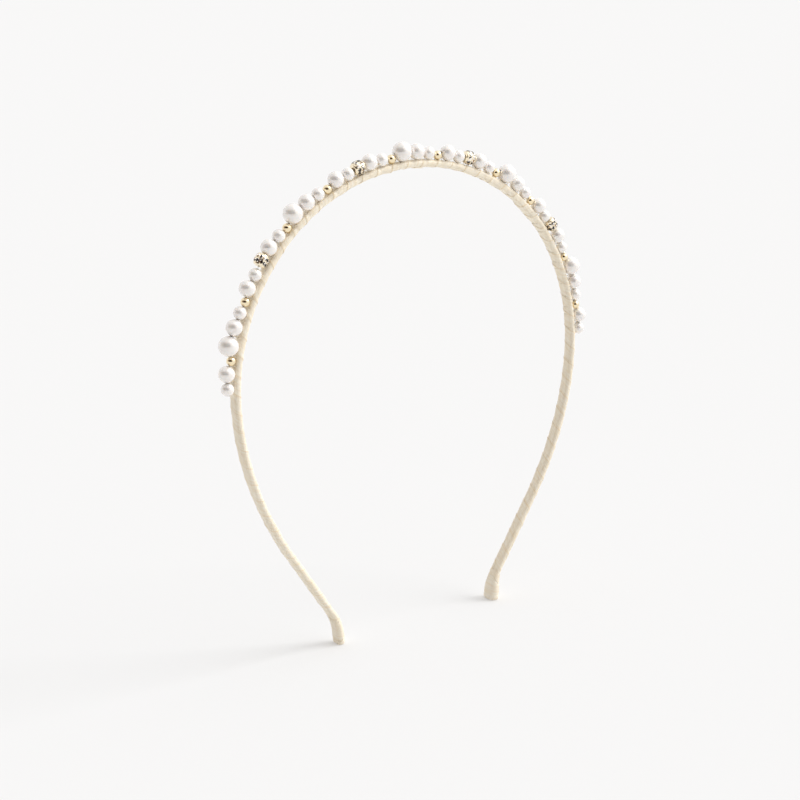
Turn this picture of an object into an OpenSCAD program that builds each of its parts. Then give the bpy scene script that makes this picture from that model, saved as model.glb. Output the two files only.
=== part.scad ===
// Alice-band style headband: a springy steel strip wrapped in satin ribbon, with a row of pearls,
// gold balls and crystal barrels bound along its outer face.
// The band stands on its two tips. The arch lies in the XZ plane, +X to the right, +Y to the back.
// The origin is on the floor, midway between the tips.

/* [Band] */
// Width of the wrapped band, front to back
band_w = 3.5; // [2.8:0.1:3.6]
// Thickness of the wrapped band, inner face to outer face
band_t = 2.2; // [2:0.1:2.4]
// Width of the steel strip
core_w = 2.4; // [2.2:0.1:2.5]
// Thickness of the steel strip
core_t = 1.2; // [0.8:0.1:1.3]

/* [Arch, from the crown down] */
// Radius over the crown
crown_r = 67; // [66:0.5:68]
// Degrees that each half of the crown turns
crown_turn = 25; // [24:0.5:26]
// Radius of the sides
side_r = 62.5; // [61:0.5:64]
// Degrees that each side turns
side_turn = 68.5; // [67:0.5:70]
// Radius below the temples
temple_r = 87; // [80:1:95]
// Degrees turned below the temples
temple_turn = 16; // [15:0.5:17]
// Radius behind the ears
ear_r = 113; // [105:1:120]
// Degrees turned behind the ears
ear_turn = 13.8; // [13:0.1:15]
// Length of the straight leg
leg_l = 25.2; // [20:0.2:30]
// Radius of the outward bend above each tip
toe_r = 16; // [12:0.5:20]
// Degrees of the outward bend
toe_turn = 27; // [20:0.5:30]
// Straight length of each tip
toe_l = 3.8; // [3:0.1:6]

/* [Beads] */
// Diameter of a large pearl
large_d = 5.95; // [5.6:0.05:6]
// Diameter of a medium pearl
medium_d = 4.9; // [4.6:0.05:5]
// Diameter of a small pearl
small_d = 3.9; // [3.6:0.05:4]
// Diameter of a gold ball
gold_d = 2.8; // [2.6:0.05:3]
// Diameter of a crystal barrel over its rims
barrel_d = 4.75; // [4.6:0.05:5]
// Length of a crystal barrel along the thread
barrel_l = 3.65; // [3.5:0.05:3.9]
// Diameter of every bead's bore
bore_d = 1.3; // [1.1:0.05:1.3]
// Space between neighbouring beads
bead_gap = 0.1; // [0.1:0.01:0.2]
// Space between the two beads at each flex line
flex_gap = 0.68; // [0.65:0.01:0.8]
// How far the row of beads sits in front of the band's middle
row_offset = 0.7; // [0:0.05:0.8]
// Distance of the first bead from the crown, along the band
row_start = 96.65; // [95:0.1:98]

/* [Stones] */
// Diameter of one crystal
stone_d = 1.12; // [1:0.02:1.16]
// Crystals round a barrel
stones_round = 10; // [8:1:10]
// Rows of crystals along a barrel
stone_rows = 2; // [1:1:2]

/* [Threads and tips] */
// Diameter of the thread through the beads
thread_d = 0.15; // [0.12:0.01:0.2]
// Thickness of the binding thread
binding_d = 0.08; // [0.06:0.01:0.1]
// Length of the folded tab over each tip
tab_l = 6.5; // [5:0.5:8]
// Thickness of the folded tab
tab_wall = 0.35; // [0.3:0.05:0.5]

/* [Hidden] */
// Repeating order of the beads, and the first three at the left end
pattern = "LMSGMSRMSG";
left_end = "SMG";
bead_count = 49;
// The flex lines are just after these beads
left_flex_bead = 8;
right_flex_bead = 39;
// Space between the lengths of strip and ribbon at a flex line
cut = 0.4;
// Clearance between the strip, the ribbon and the tab
fit = 0.03;
// The strip and the ribbon stop this far above the floor
end_lift = 0.8;
// The last run of the arch goes this far below the floor, and the tabs are cut off there
floor_spare = 1;
// Length and height of a barrel's rims
rim_l = 0.45;
rim_h = 0.3;
// A binding loop next to a barrel stands this far off the middle of its space
rim_clear = 0.08;
// Diameter of a crystal's flat top, and how deep a crystal sits
stone_top_d = 0.62;
stone_seat = 0.2;
// Steps in each round edge of a cross-section, and sides of the thread
edge_steps = 4;
thread_sides = 8;
// Most degrees between two rings of a swept solid, and their least distance from its ends
bend_step = 5;
station_min = 0.5;
eps = 0.01;
$fn = 64;

// Each run of one half of the arch, from the crown down, as [length, turn].
function arc(r, turn) = [PI * r * abs(turn) / 180, turn];
RUNS = [
    arc(crown_r, crown_turn),
    arc(side_r, side_turn),
    arc(temple_r, temple_turn),
    arc(ear_r, ear_turn),
    [leg_l, 0],
    arc(toe_r, -toe_turn),
    [toe_l + floor_spare, 0]
];

// The point reached from p by going the length l while turning from the heading h. A heading of 0
// points along +X, and 90 points straight down.
function advance(p, h, l, turn) =
    turn == 0 ? p + l * [cos(h), -sin(h)]
    : let (r = 180 * l / (PI * turn)) p + r * [sin(h + turn) - sin(h), cos(h + turn) - cos(h)];

// Distance, heading and point at the start of run i, measured from the crown.
function run_s(i) = i == 0 ? 0 : run_s(i - 1) + RUNS[i - 1][0];
function run_h(i) = i == 0 ? 0 : run_h(i - 1) + RUNS[i - 1][1];
function run_p(i) = i == 0 ? [0, 0] : advance(run_p(i - 1), run_h(i - 1), RUNS[i - 1][0], RUNS[i - 1][1]);

RUN_S = [for (i = [0 : len(RUNS)]) run_s(i)];
RUN_H = [for (i = [0 : len(RUNS)]) run_h(i)];
RUN_P = [for (i = [0 : len(RUNS)]) run_p(i)];
half_l = RUN_S[len(RUNS)] - floor_spare;

// The run that holds the distance s from the crown.
function run_at(s) = max([for (i = [0 : len(RUNS) - 1]) if (i == 0 || s > RUN_S[i]) i]);

// Heading, point and curvature of the band's middle line at s. A negative s is on the left.
function half_heading(s) = let (i = run_at(s)) RUN_H[i] + RUNS[i][1] * (s - RUN_S[i]) / RUNS[i][0];
function half_point(s) =
    let (i = run_at(s), l = s - RUN_S[i]) advance(RUN_P[i], RUN_H[i], l, RUNS[i][1] * l / RUNS[i][0]);
crown_z = -half_point(half_l)[1];
tip_x = half_point(half_l)[0];
function heading(s) = sign(s) * half_heading(abs(s));
function middle(s) = let (p = half_point(abs(s))) [sign(s) * p[0], 0, crown_z + p[1]];
function curvature(s) = let (i = run_at(abs(s))) PI * RUNS[i][1] / (180 * RUNS[i][0]);

// Directions at s: along the band to the right, and out of its outer face.
function along(s) = [cos(heading(s)), 0, -sin(heading(s))];
function outward(s) = [sin(heading(s)), 0, cos(heading(s))];

// Kind, radius and half length of bead i, counted from the left end.
function kind(i) = i < len(left_end) ? left_end[i] : pattern[(i - len(left_end)) % len(pattern)];
function radius(k) =
    (k == "L" ? large_d : k == "M" ? medium_d : k == "S" ? small_d : k == "G" ? gold_d : barrel_d) / 2;
function bead_h(i) = band_t / 2 + radius(kind(i)) + eps;

// Distance between the middles of beads i and i + 1 on a straight band. Balls of different sizes
// touch on the line between their centres, and a barrel is met on its flat end.
function space(i) = i == left_flex_bead || i == right_flex_bead ? flex_gap : bead_gap;
function step(i) =
    let (a = kind(i), b = kind(i + 1), ra = radius(a), rb = radius(b))
    a == "R" ? barrel_l / 2 + rb + space(i)
    : b == "R" ? ra + barrel_l / 2 + space(i)
    : sqrt(pow(ra + rb + space(i), 2) - pow(ra - rb, 2));
function arc_step(i, s) = step(i) / (1 + curvature(s + step(i) / 2) * (bead_h(i) + bead_h(i + 1)) / 2);
BEAD_S = [for (i = 0, s = -row_start; i < bead_count; s = s + arc_step(i, s), i = i + 1) s];

function bead_centre(i) = middle(BEAD_S[i]) + bead_h(i) * outward(BEAD_S[i]) - [0, row_offset, 0];
CENTRES = [for (i = [0 : bead_count - 1]) bead_centre(i)];
function unit(v) = v / norm(v);
function bore_dir(i) =
    kind(i) == "R" ? along(BEAD_S[i]) : unit(CENTRES[min(i + 1, bead_count - 1)] - CENTRES[max(i - 1, 0)]);
function bore_half(i) = kind(i) == "R" ? barrel_l / 2 : sqrt(pow(radius(kind(i)), 2) - pow(bore_d / 2, 2));
function mouth(i, side) = CENTRES[i] + side * bore_half(i) * bore_dir(i);

// Where the thread passes from bead i to bead i + 1.
function pass(i) =
    i < 0 ? mouth(0, -1)
    : i >= bead_count - 1 ? mouth(bead_count - 1, 1)
    : (mouth(i, 1) + mouth(i + 1, -1)) / 2;
function is_flex(i) = i == left_flex_bead || i == right_flex_bead;
function thread_in(i) = is_flex(i - 1) ? mouth(i, -1) : pass(i - 1);
function thread_out(i) = is_flex(i) ? mouth(i, 1) : pass(i);

// Middle of the space between beads i and i + 1. The flex lines are two of these.
function half_along(i) = kind(i) == "R" ? barrel_l / 2 : radius(kind(i));
function gap_s(i) =
    BEAD_S[i] + (BEAD_S[i + 1] - BEAD_S[i]) * half_along(i) / (half_along(i) + half_along(i + 1));
left_flex_s = gap_s(left_flex_bead);
right_flex_s = gap_s(right_flex_bead);

// Beads of each body, and the numbers of the beads of one kind.
LEFT = [0, left_flex_bead];
CROWN = [left_flex_bead + 1, right_flex_bead];
RIGHT = [right_flex_bead + 1, bead_count - 1];
function beads(k) = [for (i = [0 : bead_count - 1]) if (kind(i) == k) i];
function names(word, k) = [for (n = [1 : len(beads(k))]) str(word, n)];

// Outline of a cross-section with round edges, w front to back and t inside to outside, as
// [back, out] points that run from the outer face over the back edge.
function edge(centre, r, a0, a1) =
    [for (k = [0 : edge_steps]) let (a = a0 + (a1 - a0) * k / edge_steps) centre + r * [cos(a), sin(a)]];
function outline(w, t) =
    concat(edge([(w - t) / 2, 0], t / 2, 90, -90), edge([(t - w) / 2, 0], t / 2, 270, 90));

// Places along the band where a swept solid has a ring of points, close together where it bends.
function steps(i) = max(1, ceil(abs(RUNS[i][1]) / bend_step));
HALF_STATIONS =
    [for (i = [0 : len(RUNS) - 1], k = [0 : steps(i) - 1]) RUN_S[i] + RUNS[i][0] * k / steps(i)];
MIRRORED = [for (k = [1 : len(HALF_STATIONS) - 1]) -HALF_STATIONS[len(HALF_STATIONS) - k]];
STATIONS = concat(MIRRORED, HALF_STATIONS);
function stations(s0, s1) =
    concat([s0], [for (s = STATIONS) if (s > s0 + station_min && s < s1 - station_min) s], [s1]);
function ring(s, shape) = [for (q = shape) middle(s) + [0, q[0], 0] + q[1] * outward(s)];

// Triangles between neighbouring rings of n points, the first at point number base, and a cap.
function skin(rings, n, base, out) =
    [for (j = [0 : rings - 2], k = [0 : n - 1], half = [0 : 1])
        let (
            a = base + j * n + k,
            b = base + j * n + (k + 1) % n,
            face = half == 0 ? [a, b, b + n] : [a, b + n, a + n]
        )
        out ? face : [face[2], face[1], face[0]]];
function cap(n, base, out) = [for (k = [0 : n - 1]) base + (out ? n - 1 - k : k)];

// Solid through rings of points, all of the same number.
module tube(rings) {
    n = len(rings[0]);
    count = len(rings);
    polyhedron(
        points = [for (r = rings) each r],
        faces = concat(skin(count, n, 0, true), [cap(n, 0, true)], [cap(n, (count - 1) * n, false)])
    );
}

// Solid swept along the band from s0 to s1. A negative s is on the left.
module swept(s0, s1, shape) {
    tube([for (s = stations(s0, s1)) ring(s, shape)]);
}

// The same with a hollow whose outline has as many points.
module swept_hollow(s0, s1, outer, inner) {
    places = stations(s0, s1);
    n = len(outer);
    count = len(places);
    hollow = count * n;
    last = (count - 1) * n;
    polyhedron(
        points = [for (shape = [outer, inner], s = places) each ring(s, shape)],
        faces = concat(
            skin(count, n, 0, true),
            skin(count, n, hollow, false),
            [for (k = [0 : n - 1]) let (m = (k + 1) % n) [m, k, hollow + k, hollow + m]],
            [for (k = [0 : n - 1]) let (m = (k + 1) % n, rim = hollow + last)
                [last + k, last + m, rim + m, rim + k]]
        )
    );
}

// Turns a shape made along +Z at the origin to lie along v at p.
module place(p, v) {
    translate(p)
    rotate([0, acos(v[2]), atan2(v[1], v[0])])
    children();
}

// Moves a shape from the origin to s on the band, with +X along the band and +Z out of it.
module at_band(s) {
    translate(middle(s))
    rotate([0, heading(s), 0])
    children();
}

module core(s0, s1) {
    color("silver")
    swept(s0, s1, outline(core_w, core_t));
}

module wrap(s0, s1) {
    color("antiquewhite")
    swept_hollow(s0, s1, outline(band_w, band_t), outline(core_w + 2 * fit, core_t + 2 * fit));
}

// Ribbon folded over the right tip, closed below and flat on the floor.
module right_end_tab() {
    top = half_l - tab_l;
    grow = 2 * (tab_wall + fit);
    color("wheat")
    difference() {
        swept(top, half_l + floor_spare, outline(band_w + grow, band_t + grow));
        swept(top - floor_spare, half_l - end_lift + fit, outline(band_w + 2 * fit, band_t + 2 * fit));
        translate([tip_x, 0, -2 * band_w])
        cube(4 * band_w, center = true);
    }
}

module left_end_tab() {
    mirror([1, 0, 0])
    right_end_tab();
}

// A pearl or a gold ball, drilled through.
module ball(i) {
    r = radius(kind(i));
    place(CENTRES[i], bore_dir(i))
    difference() {
        sphere(r = r);
        cylinder(d = bore_d, h = 3 * r, center = true);
    }
}

module pearl(i) {
    color("ivory")
    ball(i);
}

module gold_balls(range) {
    color("gold")
    for (i = beads("G")) if (i >= range[0] && i <= range[1]) ball(i);
}

// Places a shape on each crystal's seat, with +Z out of the barrel.
module each_stone() {
    pitch = (barrel_l - 2 * rim_l) / stone_rows;
    for (row = [1 : stone_rows], n = [1 : stones_round])
        translate([0, 0, (row - (stone_rows + 1) / 2) * pitch])
        rotate([0, 90, (n + row / 2) * 360 / stones_round])
        translate([0, 0, barrel_d / 2 - rim_h - stone_seat])
        children();
}

// Metal shell with a rim at each end and a drilled seat for each crystal.
module barrel(i) {
    end = barrel_l / 2;
    rim = barrel_d / 2;
    color("gold")
    place(CENTRES[i], bore_dir(i))
    difference() {
        cylinder(r = rim, h = barrel_l, center = true);
        difference() {
            cylinder(r = rim + 1, h = 2 * (end - rim_l), center = true);
            cylinder(r = rim - rim_h, h = barrel_l, center = true);
        }
        cylinder(d = bore_d, h = 2 * barrel_l, center = true);
        each_stone()
        cylinder(d = stone_d + eps, h = rim, $fn = 32);
    }
}

// Round crystals with a sloping crown and a flat top.
module stones(i) {
    crown_h = rim_h * 0.8;
    color("white")
    place(CENTRES[i], bore_dir(i))
    each_stone() {
        translate([0, 0, eps])
        cylinder(d = stone_d, h = stone_seat, $fn = 32);
        translate([0, 0, eps + stone_seat])
        cylinder(d1 = stone_d, d2 = stone_top_d, h = crown_h, $fn = 32);
    }
}

// Ring of points round the thread where it runs along v through p.
function thread_ring(p, v) =
    let (up = unit(cross([0, 1, 0], v)), r = thread_d / 2)
    [for (k = [0 : thread_sides - 1]) let (a = -360 * k / thread_sides)
        p + r * (cos(a) * up + sin(a) * [0, 1, 0])];

module bead_thread(range) {
    knots = concat([thread_in(range[0])], [for (i = [range[0] : range[1]]) thread_out(i)]);
    last = len(knots) - 1;
    color("whitesmoke")
    tube([for (k = [0 : last]) thread_ring(knots[k], unit(knots[min(k + 1, last)] - knots[max(k - 1, 0)]))]);
}

// Outline of a binding loop drawn tight round the band and over the bead thread, grown by g. The
// thread crosses it at the height top.
function tangent_turn(centre, apex, r) = acos(r / norm(apex - centre));
function toward(centre, apex) = atan2(apex[1] - centre[1], apex[0] - centre[0]);
function loop_outline(g, top) =
    let (
        r = band_t / 2 + g,
        back = [(band_w - band_t) / 2, 0],
        front = -back,
        apex = [-row_offset, top + thread_d / 2 + g],
        half = [thread_d / 2 + g, 0]
    )
    concat(
        [apex + half],
        edge(back, r, toward(back, apex + half) - tangent_turn(back, apex + half, r), -90),
        edge(front, r, -90, toward(front, apex - half) + tangent_turn(front, apex - half, r) - 360),
        [apex - half]
    );

// Place of the loop between beads i and i + 1, off the middle of a space that a barrel's flat end
// closes, so that the loop clears the barrel's rim.
function loop_s(i) =
    gap_s(i) + rim_clear * ((kind(i) == "R" ? 1 : 0) - (kind(i + 1) == "R" ? 1 : 0));

module binding_loop(i) {
    s = loop_s(i);
    top = (pass(i) - middle(s)) * outward(s);
    at_band(s)
    rotate([90, 0, 90])
    linear_extrude(binding_d, center = true)
    difference() {
        polygon(loop_outline(eps + binding_d, top));
        polygon(loop_outline(eps, top));
    }
}

module binding(range) {
    color("gainsboro")
    for (i = [range[0] : range[1] - 1]) binding_loop(i);
}

core(left_flex_s + cut / 2, right_flex_s - cut / 2);  // crown_core
core(end_lift - half_l, left_flex_s - cut / 2);  // left_core
core(right_flex_s + cut / 2, half_l - end_lift);  // right_core
wrap(left_flex_s + cut / 2, right_flex_s - cut / 2);  // crown_wrap
wrap(end_lift - half_l, left_flex_s - cut / 2);  // left_wrap
wrap(right_flex_s + cut / 2, half_l - end_lift);  // right_wrap
left_end_tab();
right_end_tab();
for (n = [1 : len(beads("L"))])
    pearl(beads("L")[n - 1]);
for (n = [1 : len(beads("M"))])
    pearl(beads("M")[n - 1]);
for (n = [1 : len(beads("S"))])
    pearl(beads("S")[n - 1]);
gold_balls(CROWN);  // crown_gold_balls
gold_balls(LEFT);  // left_gold_balls
gold_balls(RIGHT);  // right_gold_balls
for (n = [1 : len(beads("R"))])
    barrel(beads("R")[n - 1]);
for (n = [1 : len(beads("R"))])
    stones(beads("R")[n - 1]);
bead_thread(CROWN);  // crown_bead_thread
bead_thread(LEFT);  // left_bead_thread
bead_thread(RIGHT);  // right_bead_thread
binding(CROWN);  // crown_binding
binding(LEFT);  // left_binding
binding(RIGHT);  // right_binding
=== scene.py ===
"""Looks of the headband: a satin-wound steel arch with a row of pearls, gold balls and barrels.

Everything is in metres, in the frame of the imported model: the floor is z = 0, +X runs from the
left tip to the right one, and +Y is the back.
"""

import logging
import math
from dataclasses import dataclass
from enum import Enum
from typing import ClassVar

import bmesh
import bpy
from mathutils import Matrix, Vector


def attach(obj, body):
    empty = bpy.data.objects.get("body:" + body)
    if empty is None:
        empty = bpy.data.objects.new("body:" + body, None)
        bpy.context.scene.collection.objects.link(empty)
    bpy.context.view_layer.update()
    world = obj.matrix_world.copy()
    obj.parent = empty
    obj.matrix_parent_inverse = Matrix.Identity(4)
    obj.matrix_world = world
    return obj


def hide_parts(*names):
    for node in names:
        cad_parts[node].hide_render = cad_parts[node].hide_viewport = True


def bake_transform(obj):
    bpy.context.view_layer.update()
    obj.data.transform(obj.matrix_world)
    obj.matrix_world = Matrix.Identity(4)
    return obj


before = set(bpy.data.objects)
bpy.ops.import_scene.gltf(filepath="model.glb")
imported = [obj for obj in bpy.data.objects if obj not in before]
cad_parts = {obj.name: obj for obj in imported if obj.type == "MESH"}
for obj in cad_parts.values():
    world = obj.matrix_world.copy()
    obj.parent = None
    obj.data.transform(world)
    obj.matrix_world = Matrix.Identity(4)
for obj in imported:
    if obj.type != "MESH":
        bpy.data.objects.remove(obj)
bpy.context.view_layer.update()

MM = 0.001
Y_AXIS = Vector((0.0, 1.0, 0.0))
Z_AXIS = Vector((0.0, 0.0, 1.0))
WHITE = "#FFFFFF"
log = logging.getLogger("headband")

# Moving bodies and the word each has in the names of its pieces, and the pairs that flex.
BODY_WORDS = {"left_leg": "left", "crown": "crown", "right_leg": "right"}
FLEX_BODIES = (("left_leg", "crown"), ("crown", "right_leg"))


# ---------------------------------------------------------------- small shared tools


def linear(code: str) -> tuple[float, float, float, float]:
    """Turns an sRGB colour into linear light.

    Args:
        code: the colour as "#rrggbb".

    Returns:
        Linear red, green, blue and an alpha of 1.
    """
    parts = [int(code[k : k + 2], 16) / 255 for k in (1, 3, 5)]
    red, green, blue = (
        c / 12.92 if c <= 0.04045 else ((c + 0.055) / 1.055) ** 2.4 for c in parts
    )
    return red, green, blue, 1.0


def per_mm(size: float) -> float:
    """Texture scale on coordinates in metres whose features are size millimetres wide."""
    return 1 / (size * MM)


def span(low: float, high: float, at_low: float, at_high: float) -> dict:
    """Values of a range map that takes low..high to at_low..at_high."""
    return {"From Min": low, "From Max": high, "To Min": at_low, "To Max": at_high}


def add_node(
    tree: bpy.types.NodeTree,
    kind: str,
    settings: dict | None = None,
    values: dict | None = None,
    links: dict | None = None,
) -> bpy.types.Node:
    """Adds one node with its settings, socket values and incoming links.

    Args:
        tree: the shader or geometry tree.
        kind: the node's type.
        settings: properties of the node.
        values: constants for its inputs, by name or number.
        links: output sockets that feed its inputs, by name or number.

    Returns:
        The new node.
    """
    node = tree.nodes.new(kind)
    for key, value in (settings or {}).items():
        setattr(node, key, value)
    for key, value in (values or {}).items():
        node.inputs[key].default_value = value
    for key, source in (links or {}).items():
        tree.links.new(source, node.inputs[key])
    return node


def new_object(name: str, mesh: bpy.types.Mesh) -> bpy.types.Object:
    """Links a mesh into the scene as an object at the origin.

    Args:
        name: the object's name.
        mesh: its mesh.

    Returns:
        The object.
    """
    piece = bpy.data.objects.new(name, mesh)
    bpy.context.scene.collection.objects.link(piece)
    return piece


def mesh_piece(
    name: str,
    points: list[Vector],
    faces: list[tuple[int, ...]],
    edges: list[tuple[int, int]] | None = None,
) -> bpy.types.Object:
    """Makes an object from points, faces and loose edges.

    Args:
        name: the object's name.
        points: its points, in metres.
        faces: each face's points, by number.
        edges: each loose edge's points, by number.

    Returns:
        The object.
    """
    mesh = bpy.data.meshes.new(name)
    mesh.from_pydata(points, edges or [], faces)
    mesh.update()
    return new_object(name, mesh)


def outward_faces(piece: bpy.types.Object) -> None:
    """Merges doubles in a closed mesh and turns its faces outwards.

    Args:
        piece: the object with the mesh.
    """
    work = bmesh.new()
    work.from_mesh(piece.data)
    bmesh.ops.remove_doubles(work, verts=work.verts, dist=1e-7)
    bmesh.ops.recalc_face_normals(work, faces=work.faces)
    work.to_mesh(piece.data)
    work.free()


def turn_sheet_out(piece: bpy.types.Object) -> None:
    """Flips an open sheet that wraps the plane y = 0 if its faces look towards that plane."""
    if sum(face.normal.y * face.center.y for face in piece.data.polygons) < 0:
        piece.data.flip_normals()


def smooth(piece: bpy.types.Object, angle: float = 180.0) -> None:
    """Shades a piece smooth, with sharp edges where its faces meet at a large angle.

    Args:
        piece: the piece.
        angle: the least angle of a sharp edge, in degrees.
    """
    piece.data.shade_smooth()
    if angle < 180:
        piece.data.set_sharp_from_angle(angle=math.radians(angle))


def dress(piece: bpy.types.Object, material: bpy.types.Material) -> None:
    """Gives a piece its only material.

    Args:
        piece: the piece.
        material: its material.
    """
    piece.data.materials.clear()
    piece.data.materials.append(material)


def join(name: str, pieces: list[bpy.types.Object]) -> bpy.types.Object:
    """Joins meshes that stand at the origin into one named object.

    Args:
        name: the object's name.
        pieces: the objects that are joined, which are removed.

    Returns:
        The joined object.
    """
    work = bmesh.new()
    for piece in pieces:
        work.from_mesh(piece.data)
        bpy.data.objects.remove(piece)
    mesh = bpy.data.meshes.new(name)
    work.to_mesh(mesh)
    work.free()
    return new_object(name, mesh)


def revolve(
    name: str, outline: list[tuple[float, float]], centre: Vector, axis: Vector, sides: int
) -> bpy.types.Object:
    """Turns a closed outline round an axis into a drilled, ring-like solid.

    Args:
        name: the object's name.
        outline: closed loop of (place along the axis, radius).
        centre: where the outline's origin stands.
        axis: unit direction of the axis.
        sides: how many faces go round.

    Returns:
        The solid, with its faces outwards.
    """
    turn = Z_AXIS.rotation_difference(axis).to_matrix()
    points, faces = [], []
    for k in range(sides):
        a = 2 * math.pi * k / sides
        for along, radius in outline:
            local = Vector((radius * math.cos(a), radius * math.sin(a), along))
            points.append(centre + turn @ local)
    n = len(outline)
    for k in range(sides):
        for j in range(n):
            here, there = k * n, (k + 1) % sides * n
            m = (j + 1) % n
            faces.append((here + j, there + j, there + m, here + m))
    piece = mesh_piece(name, points, faces)
    outward_faces(piece)
    return piece


class Socket(Enum):
    """Kinds of named input on a geometry tree."""

    NUMBER = "NodeSocketFloat"
    COUNT = "NodeSocketInt"
    PIECE = "NodeSocketObject"
    FINISH = "NodeSocketMaterial"


def geometry_tree(name: str, inputs: dict[str, Socket]) -> bpy.types.NodeTree:
    """Makes an empty geometry tree that takes and gives geometry, with named inputs.

    Args:
        name: the tree's name.
        inputs: the kind of each further input, by its name.

    Returns:
        The tree.
    """
    tree = bpy.data.node_groups.new(name, "GeometryNodeTree")
    tree.is_modifier = True
    face = tree.interface
    face.new_socket("Geometry", in_out="INPUT", socket_type="NodeSocketGeometry")
    for label, kind in inputs.items():
        face.new_socket(label, in_out="INPUT", socket_type=kind.value)
    face.new_socket("Geometry", in_out="OUTPUT", socket_type="NodeSocketGeometry")
    return tree


def grow(
    name: str, source: bpy.types.Object, tree: bpy.types.NodeTree, inputs: dict
) -> bpy.types.Object:
    """Runs a geometry tree on a source object and keeps the result as a plain mesh.

    Args:
        name: the finished object's name.
        source: the mesh that feeds the tree. It is left in place, without the modifier.
        tree: the geometry tree.
        inputs: values of the tree's named inputs.

    Returns:
        The finished mesh object, without modifiers.
    """
    modifier = source.modifiers.new("grow", "NODES")
    modifier.node_group = tree
    for item in tree.interface.items_tree:
        if item.in_out == "INPUT" and item.name in inputs:
            modifier[item.identifier] = inputs[item.name]
    graph = bpy.context.evaluated_depsgraph_get()
    mesh = bpy.data.meshes.new_from_object(
        source.evaluated_get(graph), preserve_all_data_layers=True, depsgraph=graph
    )
    source.modifiers.remove(modifier)
    mesh.name = name
    return new_object(name, mesh)


# ---------------------------------------------------------------- finishes


@dataclass(frozen=True)
class Finish:
    """A finish with one colour and gloss, which subclasses give their patterns."""

    name: str
    slot: str
    colour: str
    roughness: float
    metallic: float = 0.0

    def shader_values(self) -> dict:
        """Constants of the shader.

        Returns:
            The values, by socket.
        """
        return {
            "Base Color": linear(self.colour),
            "Roughness": self.roughness,
            "Metallic": self.metallic,
        }

    def pattern(self, tree: bpy.types.NodeTree) -> dict:
        """Adds the pattern's nodes and gives the sockets that feed the shader."""
        return {}

    def build(self) -> bpy.types.Material:
        """Makes the material.

        Returns:
            The material, with a shader and its pattern.
        """
        material = bpy.data.materials.new(self.name)
        material.use_nodes = True
        tree = material.node_tree
        tree.nodes.clear()
        shader = add_node(
            tree,
            "ShaderNodeBsdfPrincipled",
            values=self.shader_values(),
            links=self.pattern(tree),
        )
        add_node(tree, "ShaderNodeOutputMaterial", links={"Surface": shader.outputs[0]})
        return material


@dataclass(frozen=True)
class Satin(Finish):
    """Woven polyester satin: long floats along the ribbon give it silky streaks and a soft sheen.

    Floats are a tenth of a millimetre apart or less, too fine to show, so they are drawn wider.
    """

    float_gap: float = 0.6
    float_length: float = 4.0
    shade: str = "#F0DAB6"
    sheen: str = "#FFF8EA"
    # The darker edge is partly the denser selvedge and partly painted shade along the seam.
    selvedge_and_seam_shade: float = 0.5
    selvedge_and_seam_shade_tone: float = 0.9
    streak_tone: float = 0.6
    patch: float = 6.0
    patch_tone: float = 0.35
    rib_height: float = 0.11

    def shader_values(self) -> dict:
        """Constants of the shader, with the sheen of loose fibres.

        Returns:
            The values, by socket.
        """
        return super().shader_values() | {
            "IOR": 1.5,
            "Specular IOR Level": 0.45,
            "Sheen Weight": 0.25,
            "Sheen Roughness": 0.35,
            "Sheen Tint": linear(self.sheen),
            "Subsurface Weight": 0.12,
            "Subsurface Radius": (1.0, 0.8, 0.55),
            "Subsurface Scale": 0.4 * MM,
        }

    def pattern(self, tree: bpy.types.NodeTree) -> dict:
        """Streaks along the ribbon, an edge darkened for the denser selvedge and as painted seam
        shade, uneven dye, and the floats as bump.

        Args:
            tree: the material's tree.

        Returns:
            The sockets that feed the shader.
        """
        ribbon = add_node(tree, "ShaderNodeUVMap", {"uv_map": "ribbon"})
        streak_place = add_node(
            tree,
            "ShaderNodeMapping",
            values={"Scale": (1 / self.float_length, 1 / self.float_gap, 1.0)},
            links={"Vector": ribbon.outputs[0]},
        )
        streaks = add_node(
            tree,
            "ShaderNodeTexNoise",
            values={"Scale": 1.0, "Detail": 3.0, "Roughness": 0.6},
            links={"Vector": streak_place.outputs[0]},
        )
        place = add_node(tree, "ShaderNodeTexCoord")
        patches = add_node(
            tree,
            "ShaderNodeTexNoise",
            values={"Scale": per_mm(self.patch), "Detail": 2.0},
            links={"Vector": place.outputs["Object"]},
        )
        across = add_node(tree, "ShaderNodeSeparateXYZ", links={0: ribbon.outputs[0]})
        # Painted shade: the edge of each turn that lies on top, at the seam, is darkened towards
        # the shade colour, partly for its denser selvedge.
        edge = add_node(
            tree,
            "ShaderNodeMapRange",
            {"interpolation_type": "SMOOTHSTEP"},
            span(0.0, self.selvedge_and_seam_shade, self.selvedge_and_seam_shade_tone, 0.0),
            {0: across.outputs[1]},
        )
        streak_share = add_node(
            tree,
            "ShaderNodeMapRange",
            values=span(0.35, 0.65, 0.0, self.streak_tone),
            links={0: streaks.outputs[0]},
        )
        patch_share = add_node(
            tree,
            "ShaderNodeMapRange",
            values=span(0.4, 0.65, 0.0, self.patch_tone),
            links={0: patches.outputs[0]},
        )
        dye = add_node(
            tree,
            "ShaderNodeMath",
            {"operation": "MAXIMUM"},
            links={0: streak_share.outputs[0], 1: patch_share.outputs[0]},
        )
        darker = add_node(
            tree,
            "ShaderNodeMath",
            {"operation": "MAXIMUM"},
            links={0: dye.outputs[0], 1: edge.outputs[0]},
        )
        colour = add_node(
            tree,
            "ShaderNodeMix",
            {"data_type": "RGBA"},
            {6: linear(self.colour), 7: linear(self.shade)},
            {0: darker.outputs[0]},
        )
        bump = add_node(
            tree,
            "ShaderNodeBump",
            values={"Strength": 1.0, "Distance": self.rib_height * MM},
            links={"Height": streaks.outputs[0]},
        )
        return {"Base Color": colour.outputs[2], "Normal": bump.outputs[0]}


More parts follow.
